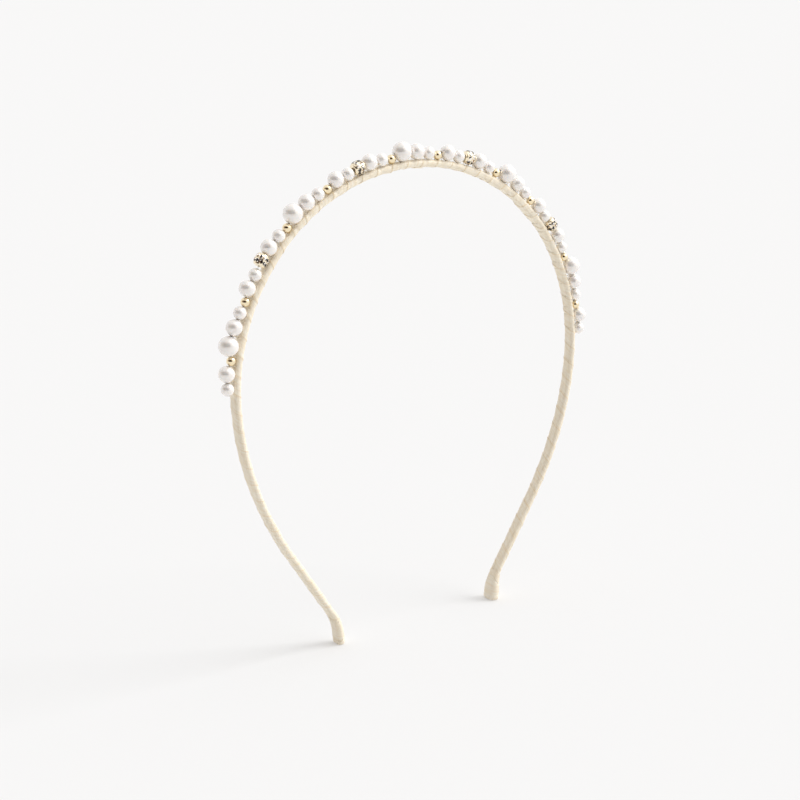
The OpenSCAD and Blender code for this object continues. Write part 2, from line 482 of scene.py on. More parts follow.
@dataclass(frozen=True)
class Nacre(Finish):
    """Pearl lacquer over a glass bead: dipped in many coats, so it glows and mirrors softly.

    The layers let some light in and scatter it, and add a faint rose cast.
    """

    cast: str = "#F6F0ED"
    cloud: float = 2.5
    peel: float = 0.9

    def shader_values(self) -> dict:
        """Constants of the shader: a soft mirror under a clear top coat.

        Returns:
            The values, by socket.
        """
        return super().shader_values() | {
            "IOR": 1.6,
            "Coat Weight": 0.5,
            "Coat Roughness": 0.2,
            "Coat IOR": 1.5,
            "Subsurface Weight": 0.4,
            "Subsurface Radius": (1.0, 0.9, 0.8),
            "Subsurface Scale": 1.2 * MM,
        }

    def pattern(self, tree: bpy.types.NodeTree) -> dict:
        """The cast in soft clouds, and a faint orange peel of the lacquer.

        Args:
            tree: the material's tree.

        Returns:
            The sockets that feed the shader.
        """
        place = add_node(tree, "ShaderNodeTexCoord")
        clouds = add_node(
            tree,
            "ShaderNodeTexNoise",
            values={"Scale": per_mm(self.cloud), "Detail": 1.0},
            links={"Vector": place.outputs["Object"]},
        )
        colour = add_node(
            tree,
            "ShaderNodeMix",
            {"data_type": "RGBA"},
            {6: linear(self.colour), 7: linear(self.cast)},
            {0: clouds.outputs[0]},
        )
        peel = add_node(
            tree,
            "ShaderNodeTexNoise",
            values={"Scale": per_mm(self.peel), "Detail": 2.0},
            links={"Vector": place.outputs["Object"]},
        )
        bump = add_node(
            tree,
            "ShaderNodeBump",
            values={"Strength": 0.15, "Distance": 0.02 * MM},
            links={"Height": peel.outputs[0]},
        )
        return {"Base Color": colour.outputs[2], "Normal": bump.outputs[0]}


@dataclass(frozen=True)
class Plating(Finish):
    """Pale gold plate on a polished metal bead: a clean mirror with the odd polishing mark."""

    mark_gap: float = 0.4

    def pattern(self, tree: bpy.types.NodeTree) -> dict:
        """Roughness and bump that vary as the polishing left them.

        Args:
            tree: the material's tree.

        Returns:
            The sockets that feed the shader.
        """
        place = add_node(tree, "ShaderNodeTexCoord")
        marks = add_node(
            tree,
            "ShaderNodeTexNoise",
            values={"Scale": per_mm(self.mark_gap), "Detail": 3.0},
            links={"Vector": place.outputs["Object"]},
        )
        gloss = add_node(
            tree,
            "ShaderNodeMapRange",
            values=span(0.3, 0.7, self.roughness * 0.6, self.roughness * 1.8),
            links={0: marks.outputs[0]},
        )
        bump = add_node(
            tree,
            "ShaderNodeBump",
            values={"Strength": 0.1, "Distance": 0.01 * MM},
            links={"Height": marks.outputs[0]},
        )
        return {"Roughness": gloss.outputs[0], "Normal": bump.outputs[0]}


@dataclass(frozen=True)
class FoiledCrystal(Finish):
    """Cut lead glass with a foil behind it: each facet shows one painted light or dark
    reflection.

    The painted reflections stand for the back facets, so they are finer than the facets of the
    crown.
    """

    # Size and tones of the painted reflections: dark, brownish and light spots.
    spot: float = 0.58
    dark: str = "#140C07"
    grey: str = "#B08F68"
    dark_reflection_share: float = 0.42
    grey_reflection_share: float = 0.1

    def shader_values(self) -> dict:
        """Constants of the shader: the foil's mirror under clear glass."""
        return super().shader_values() | {"Coat Weight": 1.0, "Coat Roughness": 0.02}

    def pattern(self, tree: bpy.types.NodeTree) -> dict:
        """Painted reflections: one tone for each small facet, dark, brownish or light.

        Args:
            tree: the material's tree.

        Returns:
            The socket that feeds the shader.
        """
        place = add_node(tree, "ShaderNodeTexCoord")
        facets = add_node(
            tree,
            "ShaderNodeTexVoronoi",
            {"distance": "CHEBYCHEV"},
            {"Scale": per_mm(self.spot), "Randomness": 0.6},
            {"Vector": place.outputs["Object"]},
        )
        # Painted reflections: each small cell keeps one fixed dark, brownish or light tone.
        share = add_node(tree, "ShaderNodeSeparateColor", links={0: facets.outputs["Color"]})
        painted_reflections = add_node(tree, "ShaderNodeValToRGB", links={0: share.outputs[0]})
        ramp = painted_reflections.color_ramp
        ramp.interpolation = "CONSTANT"
        ramp.elements[0].color = linear(self.dark)
        ramp.elements[1].position = self.dark_reflection_share + self.grey_reflection_share
        ramp.elements[1].color = linear(self.colour)
        ramp.elements.new(self.dark_reflection_share).color = linear(self.grey)
        return {"Base Color": painted_reflections.outputs[0]}


@dataclass(frozen=True)
class DrawnThread(Finish):
    """Clear nylon thread, drawn smooth: a thin bright line, toned like the cloth behind it."""

    mark: float = 0.3

    def pattern(self, tree: bpy.types.NodeTree) -> dict:
        """Slight draw marks, which make the gloss uneven.

        Args:
            tree: the material's tree.

        Returns:
            The socket that feeds the shader.
        """
        place = add_node(tree, "ShaderNodeTexCoord")
        marks = add_node(
            tree,
            "ShaderNodeTexNoise",
            values={"Scale": per_mm(self.mark)},
            links={"Vector": place.outputs["Object"]},
        )
        gloss = add_node(
            tree,
            "ShaderNodeMapRange",
            values=span(0.0, 1.0, self.roughness * 0.7, self.roughness * 1.3),
            links={0: marks.outputs[0]},
        )
        return {"Roughness": gloss.outputs[0]}


@dataclass(frozen=True)
class SpringStrip(Finish):
    """Cold-rolled spring steel: grey, with rolling lines along the strip, under the ribbon."""

    line_gap: float = 0.08
    lines_per_unit: float = 20.0

    def pattern(self, tree: bpy.types.NodeTree) -> dict:
        """Rolling lines that run along the strip, drawn as bands through its width.

        Args:
            tree: the material's tree.

        Returns:
            The socket that feeds the shader.
        """
        place = add_node(tree, "ShaderNodeTexCoord")
        lines = add_node(
            tree,
            "ShaderNodeTexWave",
            {"bands_direction": "Y"},
            {
                "Scale": per_mm(self.line_gap * self.lines_per_unit),
                "Distortion": 2.0,
                "Detail": 2.0,
            },
            {"Vector": place.outputs["Object"]},
        )
        gloss = add_node(
            tree,
            "ShaderNodeMapRange",
            values=span(0.0, 1.0, self.roughness * 0.8, self.roughness * 1.3),
            links={0: lines.outputs[1]},
        )
        return {"Roughness": gloss.outputs[0]}


# ---------------------------------------------------------------- the arch


@dataclass(frozen=True)
class Run:
    """One stretch of the arch: its length in millimetres, and the degrees that it bends down."""

    length: float
    degrees: float = 0.0

    @classmethod
    def arc(cls, radius: float, degrees: float) -> "Run":
        """A stretch bent to a radius, by degrees that are below zero where it flares out."""
        return cls(math.radians(abs(degrees)) * radius, degrees)


@dataclass(frozen=True)
class Arch:
    """Middle line of the wrapped strip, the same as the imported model's, in millimetres.

    Each half runs from the crown through arcs and straights down to its tip. The distance s is
    measured along it from the crown, below zero on the left.
    """

    runs: tuple[Run, ...] = (
        Run.arc(67.0, 25.0),
        Run.arc(62.5, 68.5),
        Run.arc(87.0, 16.0),
        Run.arc(113.0, 13.8),
        Run(25.2),
        Run.arc(16.0, -27.0),
        Run(3.8),
    )
    width: float = 3.5
    thickness: float = 2.2

    def half_length(self) -> float:
        """Length from the crown to a tip."""
        return sum(run.length for run in self.runs)

    def _walk(self, distance: float) -> tuple[float, float, float, float]:
        """Goes down one half.

        Args:
            distance: how far from the crown, from 0.

        Returns:
            How far out and how far below the crown that is, the heading in radians below level,
            and the curvature.
        """
        out = drop = heading = 0.0
        left = distance
        for run in self.runs:
            last = run is self.runs[-1]
            part = left if last else min(left, run.length)
            bend = math.radians(run.degrees) / run.length
            turn = bend * part
            if bend == 0:
                out += part * math.cos(heading)
                drop += part * math.sin(heading)
            else:
                out += (math.sin(heading + turn) - math.sin(heading)) / bend
                drop -= (math.cos(heading + turn) - math.cos(heading)) / bend
            heading += turn
            left -= part
            if left <= 0 or last:
                return out, drop, heading, bend
        raise ValueError("the arch has no runs")

    def crown_height(self) -> float:
        """Height of the middle line over the floor at the crown."""
        return self._walk(self.half_length())[1]

    def curvature(self, s: float) -> float:
        """Curvature at s, above zero where the arch bends down."""
        return self._walk(abs(s))[3]

    def point(self, s: float) -> Vector:
        """Point of the middle line at s, in metres."""
        out, drop, _, _ = self._walk(abs(s))
        return Vector((math.copysign(out, s), 0.0, self.crown_height() - drop)) * MM

    def along(self, s: float) -> Vector:
        """Direction of the arch at s, towards the right tip."""
        heading = math.copysign(self._walk(abs(s))[2], s)
        return Vector((math.cos(heading), 0.0, -math.sin(heading)))

    def outward(self, s: float) -> Vector:
        """Direction out of the arch's outer face at s."""
        heading = math.copysign(self._walk(abs(s))[2], s)
        return Vector((math.sin(heading), 0.0, math.cos(heading)))

    def place(self, s: float, back: float, out: float) -> Vector:
        """Point at s, back and out of the middle line by so many millimetres."""
        return self.point(s) + (Y_AXIS * back + self.outward(s) * out) * MM


class Side(Enum):
    """The left and the right of the headband."""

    LEFT = -1
    RIGHT = 1


class BeadKind(Enum):
    """Kinds of bead in the row, by their letter in the stringing order."""

    LARGE = "L"
    MEDIUM = "M"
    SMALL = "S"
    GOLD = "G"
    BARREL = "R"


@dataclass
class Bead:
    """One bead on the thread: its kind, number in its kind, place along the arch and body."""

    kind: BeadKind
    number: int
    s: float
    centre: Vector
    body: str
    axis: Vector


@dataclass
class BeadRow:
    """Lays out the row of beads as it is strung, in millimetres along the arch."""

    arch: Arch
    order: str = "SMG" + "LMSGMSRMSG" * 5
    count: int = 49
    start: float = -96.65
    gap: float = 0.1
    flex_gap: float = 0.68
    offset: float = 0.7
    barrel_length: float = 3.65
    bore: float = 1.3
    rest_gap: float = 0.01

    diameters: ClassVar[dict[BeadKind, float]] = {
        BeadKind.LARGE: 5.95,
        BeadKind.MEDIUM: 4.9,
        BeadKind.SMALL: 3.9,
        BeadKind.GOLD: 2.8,
        BeadKind.BARREL: 4.75,
    }
    flex_after: ClassVar[tuple[int, int]] = (8, 39)

    def __post_init__(self) -> None:
        """Places every bead."""
        self.beads: list[Bead] = []
        s = self.start
        for i in range(self.count):
            kind = self.kind(i)
            number = 1 + sum(bead.kind is kind for bead in self.beads)
            out = self.height(i)
            centre = self.arch.place(s, -self.offset, out)
            body = "left_leg" if i <= self.flex_after[0] else "crown"
            body = "right_leg" if i > self.flex_after[1] else body
            self.beads.append(Bead(kind, number, s, centre, body, self.arch.along(s)))
            if i + 1 < self.count:
                chord = self.step(i)
                bend = self.arch.curvature(s + chord / 2)
                s += chord / (1 + bend * (out + self.height(i + 1)) / 2)
        for i, bead in enumerate(self.beads):
            if bead.kind is not BeadKind.BARREL:
                ahead = self.beads[min(i + 1, self.count - 1)].centre
                behind = self.beads[max(i - 1, 0)].centre
                bead.axis = (ahead - behind).normalized()

    def kind(self, i: int) -> BeadKind:
        """Kind of bead i, counted from the left end."""
        return BeadKind(self.order[i])

    def radius(self, i: int) -> float:
        """Radius of bead i."""
        return self.diameters[self.kind(i)] / 2

    def height(self, i: int) -> float:
        """Height of bead i's middle over the arch's middle line."""
        return self.arch.thickness / 2 + self.radius(i) + self.rest_gap

    def half_length(self, i: int) -> float:
        """Half of bead i's length along the thread."""
        is_barrel = self.kind(i) is BeadKind.BARREL
        return self.barrel_length / 2 if is_barrel else self.radius(i)

    def step(self, i: int) -> float:
        """Steps from a bead to the next one, as on a straight band.

        Args:
            i: the bead on the left.

        Returns:
            The distance between their middles.
        """
        space = self.flex_gap if i in self.flex_after else self.gap
        reach = self.half_length(i) + self.half_length(i + 1) + space
        if BeadKind.BARREL in (self.kind(i), self.kind(i + 1)):
            return reach
        return math.sqrt(reach**2 - (self.radius(i) - self.radius(i + 1)) ** 2)

    def gap_place(self, i: int) -> float:
        """Finds the space between two beads.

        Args:
            i: the bead on the left.

        Returns:
            Where it is along the arch.
        """
        here, there = self.beads[i], self.beads[i + 1]
        share = self.half_length(i) / (self.half_length(i) + self.half_length(i + 1))
        return here.s + (there.s - here.s) * share

    def mouth(self, i: int, side: Side) -> Vector:
        """Finds where a bead's bore opens.

        Args:
            i: the bead.
            side: the side that the bore opens on.

        Returns:
            The middle of the opening, in metres.
        """
        half = self.half_length(i)
        if self.kind(i) is not BeadKind.BARREL:
            half = math.sqrt(half**2 - (self.bore / 2) ** 2)
        return self.beads[i].centre + self.beads[i].axis * side.value * half * MM

    def thread_height(self, i: int) -> float:
        """Finds how high the bead thread runs between two beads.

        Args:
            i: the bead on the left.

        Returns:
            Its height over the arch's middle line.
        """
        middle = (self.mouth(i, Side.RIGHT) + self.mouth(i + 1, Side.LEFT)) / 2
        s = self.gap_place(i)
        return (middle - self.arch.point(s)).dot(self.arch.outward(s)) / MM


# ---------------------------------------------------------------- beads


@dataclass
class Pearls:
    """The drilled pearls and gold balls, and the rounded lips of their bores."""

    row: BeadRow
    nacre: Finish
    plating: Finish
    bore: float = 0.6
    lip: float = 0.14
    sides: int = 56
    arc_steps: int = 26

    def outline(self, radius: float) -> list[tuple[float, float]]:
        """Closed outline of a drilled ball with rounded lips.

        Args:
            radius: the ball's radius, in millimetres.

        Returns:
            Points of (place along the bore, radius), in metres.
        """
        bore = self.bore / 2
        start = math.asin((bore + self.lip) / radius)
        sweep = math.pi - 2 * start
        outer = [
            (-radius * math.cos(start + sweep * k / self.arc_steps),
             radius * math.sin(start + sweep * k / self.arc_steps))
            for k in range(self.arc_steps + 1)
        ]
        end = outer[-1][0]
        rounding = [(0.215, 0.45), (0.87, 0.1), (1.8, 0.0)]
        right = [(end - self.lip * a, bore + self.lip * b) for a, b in rounding]
        left = [(-x, y) for x, y in reversed(right)]
        return [(x * MM, y * MM) for x, y in outer + right + left]

    def ball(self, name: str, bead: Bead) -> bpy.types.Object:
        """Makes one drilled ball in its place.

        Args:
            name: the object's name.
            bead: the bead that it is.

        Returns:
            The ball.
        """
        radius = self.row.diameters[bead.kind] / 2
        piece = revolve(name, self.outline(radius), bead.centre, bead.axis, self.sides)
        smooth(piece)
        return piece

    def build(self) -> None:
        """Makes every pearl, and one piece of gold balls for each body."""
        nacre = self.nacre.build()
        plating = self.plating.build()
        for bead in self.row.beads:
            if bead.kind in (BeadKind.LARGE, BeadKind.MEDIUM, BeadKind.SMALL):
                size = bead.kind.name.lower()
                piece = self.ball(f"nacre_{size}_{bead.number}", bead)
                dress(piece, nacre)
                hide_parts(f"{size}_pearl_{bead.number}")
                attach(piece, bead.body)
        log.info("pearls made")
        for body, word in BODY_WORDS.items():
            balls = [
                self.ball(f"ball_{bead.number}", bead)
                for bead in self.row.beads
                if bead.kind is BeadKind.GOLD and bead.body == body
            ]
            piece = join(f"plated_balls_{word}", balls)
            smooth(piece)
            dress(piece, plating)
            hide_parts(f"{word}_gold_balls")
            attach(piece, body)
            log.info("%s made", piece.name)


@dataclass
class Barrels:
    """The barrel beads: a plated, swelling spool, and rows of foiled crystals in claws."""

    row: BeadRow
    plating: Finish
    crystal: Finish
    end_radius: float = 1.5
    belly: float = 2.0
    stones_round: int = 10
    stone_rows: int = 2
    stone: float = 1.2
    row_gap: float = 1.36
    claw: float = 0.11
    claw_rise: float = 0.03
    end_rounding: float = 0.3
    lip: float = 0.14
    lip_step: float = 0.04
    facets_round: int = 8
    table_share: float = 0.29
    crown_height: float = 0.16
    girdle_height: float = 0.03
    set_depth: float = 0.1
    crisp_angle: float = 40.0
    sides: int = 64

    def radius(self, x: float) -> float:
        """Radius of the spool at x along its axis, which swells towards the middle."""
        end = self.row.barrel_length / 2
        return self.belly - (self.belly - self.end_radius) * (x / end) ** 2

    def outline(self) -> list[tuple[float, float]]:
        """Closed outline of the spool, with rounded ends.

        Returns:
            Points of (place along the bore, radius), in metres.
        """
        end = self.row.barrel_length / 2
        bore = self.row.bore / 2
        soft = self.end_rounding
        steps = 10
        outer = [
            (x, self.radius(x))
            for x in ((2 * k / steps - 1) * (end - soft) for k in range(steps + 1))
        ]
        turn = [math.radians(30.0 * k) for k in range(1, 4)]
        shoulder = [
            (end - soft * (1 - math.sin(a)), self.radius(end - soft) - soft * (1 - math.cos(a)))
            for a in turn
        ]
        lip = [
            (end, bore + self.lip),
            (end - self.lip_step, bore + self.lip_step),
            (end - self.lip, bore),
        ]
        right = shoulder + lip
        left = [(-x, y) for x, y in reversed(right)]
        return [(x * MM, y * MM) for x, y in outer + right + left]

    def chaton(self) -> bpy.types.Object:
        """Makes one round crystal with a faceted crown, sitting on z = 0.

        Returns:
            The crystal, which is copied to every seat.
        """
        n = self.facets_round
        rings = (
            (self.stone / 2, -self.set_depth, 0.0),
            (self.stone / 2, self.girdle_height, 0.0),
            (self.stone * self.table_share, self.crown_height, 0.5),
        )
        points = [Vector((0, 0, -self.set_depth))]
        for radius, z, shift in rings:
            for k in range(n):
                a = 2 * math.pi * (k + shift) / n
                points.append(Vector((radius * math.cos(a), radius * math.sin(a), z)))
        faces: list[tuple[int, ...]] = []
        low, girdle, table = 1, 1 + n, 1 + 2 * n
        for k in range(n):
            m = (k + 1) % n
            faces.append((0, low + m, low + k))
            faces.append((low + k, low + m, girdle + m, girdle + k))
            faces.append((girdle + k, girdle + m, table + k))
            faces.append((girdle + m, table + m, table + k))
        faces.append(tuple(range(table, table + n)))
        return mesh_piece("chaton", [p * MM for p in points], faces)

    def claw_bead(self) -> bpy.types.Object:
        """Makes one claw, a low metal grain.

        Returns:
            The claw, which is copied between the crystals.
        """
        work = bmesh.new()
        bmesh.ops.create_icosphere(work, subdivisions=2, radius=self.claw * MM)
        mesh = bpy.data.meshes.new("claw")
        work.to_mesh(mesh)
        work.free()
        return new_object("claw", mesh)

    def seats(self, name: str, bead: Bead, rows: list[float], height: float) -> bpy.types.Object:
        """Points round the spool, each with the direction that its crystal or claw faces.

        Args:
            name: the object's name.
            bead: the barrel.
            rows: places of the rows along the axis, in steps of one crystal from the middle.
            height: how far over the spool's surface they are, in millimetres.

        Returns:
            A mesh of points with the vector attribute "facing".
        """
        slope = 2 * (self.belly - self.end_radius) / (self.row.barrel_length / 2) ** 2
        turn = Z_AXIS.rotation_difference(bead.axis).to_matrix()
        points, facing = [], []
        for line in rows:
            x = line * self.row_gap
            for k in range(self.stones_round):
                a = 2 * math.pi * (k + line / 2) / self.stones_round
                out = Vector((math.cos(a), math.sin(a), 0.0))
                local = (out * (self.radius(x) + height) + Z_AXIS * x) * MM
                points.append(bead.centre + turn @ local)
                facing.append(turn @ (out + Z_AXIS * slope * x).normalized())
        piece = mesh_piece(name, points, [])
        field = piece.data.attributes.new("facing", "FLOAT_VECTOR", "POINT")
        field.data.foreach_set("vector", [c for v in facing for c in v])
        return piece

    def setting_tree(self) -> bpy.types.NodeTree:
        """Makes the tree that sets a copy of a piece on each seat, turned to face out.

        Returns:
            The tree, which takes the seats as its geometry.
        """
        tree = geometry_tree("stone_setting", {"Piece": Socket.PIECE, "Finish": Socket.FINISH})
        given = add_node(tree, "NodeGroupInput")
        piece = add_node(
            tree, "GeometryNodeObjectInfo", links={"Object": given.outputs["Piece"]}
        )
        facing = add_node(
            tree,
            "GeometryNodeInputNamedAttribute",
            {"data_type": "FLOAT_VECTOR"},
            {"Name": "facing"},
        )
        turned = add_node(
            tree,
            "FunctionNodeAlignRotationToVector",
            {"axis": "Z"},
            links={"Vector": facing.outputs[0]},
        )
        spin = add_node(
            tree,
            "FunctionNodeRandomValue",
            {"data_type": "FLOAT"},
            {2: 0.0, 3: 2 * math.pi / self.facets_round, "Seed": 11},
        )
        angles = add_node(tree, "ShaderNodeCombineXYZ", links={2: spin.outputs[1]})
        local = add_node(tree, "FunctionNodeEulerToRotation", links={0: angles.outputs[0]})
        spun = add_node(
            tree,
            "FunctionNodeRotateRotation",
            {"rotation_space": "LOCAL"},
            links={0: turned.outputs[0], 1: local.outputs[0]},
        )
        copies = add_node(
            tree,
            "GeometryNodeInstanceOnPoints",
            links={
                "Points": given.outputs["Geometry"],
                "Instance": piece.outputs["Geometry"],
                "Rotation": spun.outputs[0],
            },
        )
        real = add_node(tree, "GeometryNodeRealizeInstances", links={0: copies.outputs[0]})
        finished = add_node(
            tree,
            "GeometryNodeSetMaterial",
            links={"Geometry": real.outputs[0], "Material": given.outputs["Finish"]},
        )
        add_node(tree, "NodeGroupOutput", links={0: finished.outputs[0]})
        return tree

    def build(self) -> None:
        """Makes each barrel's spool with its claws, and its crystals."""
        tree = self.setting_tree()
        plating, crystal = self.plating.build(), self.crystal.build()
        chaton, claw = self.chaton(), self.claw_bead()
        middle = (self.stone_rows - 1) / 2
        stone_lines = [k - middle for k in range(self.stone_rows)]
        claw_lines = [k - middle - 0.5 for k in range(self.stone_rows + 1)]
        for bead in self.row.beads:
            if bead.kind is not BeadKind.BARREL:
                continue
            spool = revolve("spool", self.outline(), bead.centre, bead.axis, self.sides)
            inputs = {"Piece": claw, "Finish": plating}
            seats = self.seats("claw_seats", bead, claw_lines, self.claw_rise)
            claws = grow("claws", seats, tree, inputs)
            bpy.data.objects.remove(seats)
            shell = join(f"plated_barrel_{bead.number}", [spool, claws])
            smooth(shell, self.crisp_angle)
            dress(shell, plating)
            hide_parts(f"crystal_barrel_{bead.number}")
            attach(shell, bead.body)
            seats = self.seats("stone_seats", bead, stone_lines, 0.0)
            inputs = {"Piece": chaton, "Finish": crystal}
            stones = grow(f"foiled_crystals_{bead.number}", seats, tree, inputs)
            bpy.data.objects.remove(seats)
            dress(stones, crystal)
            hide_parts(f"barrel_stones_{bead.number}")
            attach(stones, bead.body)
            log.info("barrel %d made", bead.number)
        bpy.data.objects.remove(chaton)
        bpy.data.objects.remove(claw)


# ---------------------------------------------------------------- threads


@dataclass
class Threads:
    """The nylon threads: one through the beads, and one that binds the row to the band."""

    row: BeadRow
    bead_finish: Finish
    binding_finish: Finish
    bead_radius: float = 0.075
    binding_radius: float = 0.055
    bead_sides: int = 8
    binding_sides: int = 6
    passes: int = 2
    pass_gap: float = 0.09
    slant: float = 1.1
    rim_sweep: float = 150.0
    round_steps: int = 10
    flex_steps: int = 8

    def thread_tree(self) -> bpy.types.NodeTree:
        """Makes the tree that runs a round thread along the edges of its mesh.

        Returns:
            The tree, which takes the lines as its geometry.
        """
        tree = geometry_tree(
            "drawn_thread",
            {"Radius": Socket.NUMBER, "Sides": Socket.COUNT, "Finish": Socket.FINISH},
        )
        given = add_node(tree, "NodeGroupInput")
        line = add_node(tree, "GeometryNodeMeshToCurve", links={0: given.outputs["Geometry"]})
        ring = add_node(
            tree,
            "GeometryNodeCurvePrimitiveCircle",
            links={"Resolution": given.outputs["Sides"], "Radius": given.outputs["Radius"]},
        )
        solid = add_node(
            tree,
            "GeometryNodeCurveToMesh",
            values={"Fill Caps": True},
            links={"Curve": line.outputs[0], "Profile Curve": ring.outputs[0]},
        )
        rounded = add_node(
            tree, "GeometryNodeSetShadeSmooth", links={"Geometry": solid.outputs[0]}
        )
        real = add_node(tree, "GeometryNodeRealizeInstances", links={0: rounded.outputs[0]})
        finished = add_node(
            tree,
            "GeometryNodeSetMaterial",
            links={"Geometry": real.outputs[0], "Material": given.outputs["Finish"]},
        )
        add_node(tree, "NodeGroupOutput", links={0: finished.outputs[0]})
        return tree

    def loop(self, i: int, shift: float) -> list[Vector]:
        """Closed line of one pass of the binding thread between beads i and i + 1.

        It goes over the bead thread, slants across the front edge, crosses the inner face and
        comes back up the rear edge.

        Args:
            i: the bead on the left.
            shift: where the pass stands in its space, in millimetres.

        Returns:
            The line's points.
        """
        arch = self.row.arch
        flat = (arch.width - arch.thickness) / 2
        r = arch.thickness / 2
        top = self.row.thread_height(i) + self.bead_radius + self.binding_radius
        half = self.bead_radius + self.binding_radius
        apex = -self.row.offset
        rim: list[tuple[float, float]] = [(apex - half, top), (apex + half, top)]
        for centre, first in ((flat, self.rim_sweep - 90.0), (-flat, -90.0)):
            last = first - self.rim_sweep
            for k in range(self.round_steps + 1):
                a = math.radians(first + (last - first) * k / self.round_steps)
                rim.append((centre + r * math.cos(a), r * math.sin(a)))
        places = []
        for back, out in rim:
            down = min(1.0, max(0.0, (r - out) / (2 * r)))
            s = self.row.gap_place(i) + shift + self.slant * down
            places.append(arch.place(s, back, out))
        return places

    def bindings(self) -> dict[str, bpy.types.Object]:
        """Draws the lines of every binding loop.

        Returns:
            One mesh of lines for each body.
        """
        lines: dict[str, bpy.types.Object] = {}
        for body in BODY_WORDS:
            points: list[Vector] = []
            edges: list[tuple[int, int]] = []
            for i in range(self.row.count - 1):
                here, there = self.row.beads[i], self.row.beads[i + 1]
                if here.body != body or there.body != body:
                    continue
                for k in range(self.passes):
                    shift = (k - (self.passes - 1) / 2) * self.pass_gap
                    line = self.loop(i, shift)
                    base = len(points)
                    points += line
                    n = len(line)
                    edges += [(base + j, base + (j + 1) % n) for j in range(n)]
            lines[body] = mesh_piece(f"binding_line_{body}", points, [], edges)
        return lines

    def build(self, lines: dict[str, bpy.types.Object]) -> None:
        """Makes the binding threads and the short threads across the flex lines.

        Args:
            lines: the binding loops' lines, which are removed afterwards.
        """
        tree = self.thread_tree()
        bead_thread, binding = self.bead_finish.build(), self.binding_finish.build()
        for body, word in BODY_WORDS.items():
            inputs = {
                "Radius": self.binding_radius * MM,
                "Sides": self.binding_sides,
                "Finish": binding,
            }
            piece = grow(f"bound_thread_{word}", lines[body], tree, inputs)
            bpy.data.objects.remove(lines[body])
            dress(piece, binding)
            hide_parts(f"{word}_binding")
            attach(piece, body)
            log.info("%s made", piece.name)
            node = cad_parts[f"{word}_bead_thread"]
            node.data.materials.clear()
            node.data.materials.append(bead_thread)
        for i, (start, end) in zip(self.row.flex_after, FLEX_BODIES):
            a, b = self.row.mouth(i, Side.RIGHT), self.row.mouth(i + 1, Side.LEFT)
            points = [a.lerp(b, k / self.flex_steps) for k in range(self.flex_steps + 1)]
            edges = [(k, k + 1) for k in range(self.flex_steps)]
            line = mesh_piece("flex_line", points, [], edges)
            inputs = {
                "Radius": self.bead_radius * MM,
                "Sides": self.bead_sides,
                "Finish": bead_thread,
            }
            piece = grow(f"flex_thread_{start}", line, tree, inputs)
            bpy.data.objects.remove(line)
            dress(piece, bead_thread)
            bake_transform(piece)
            log.info("%s made", piece.name)


# ---------------------------------------------------------------- the band


def bell(x: float, width: float) -> float:
    """Height of a bell curve: 1 in its middle, x = 0, and 1/e at x = width."""
    return math.exp(-((x / width) ** 2))


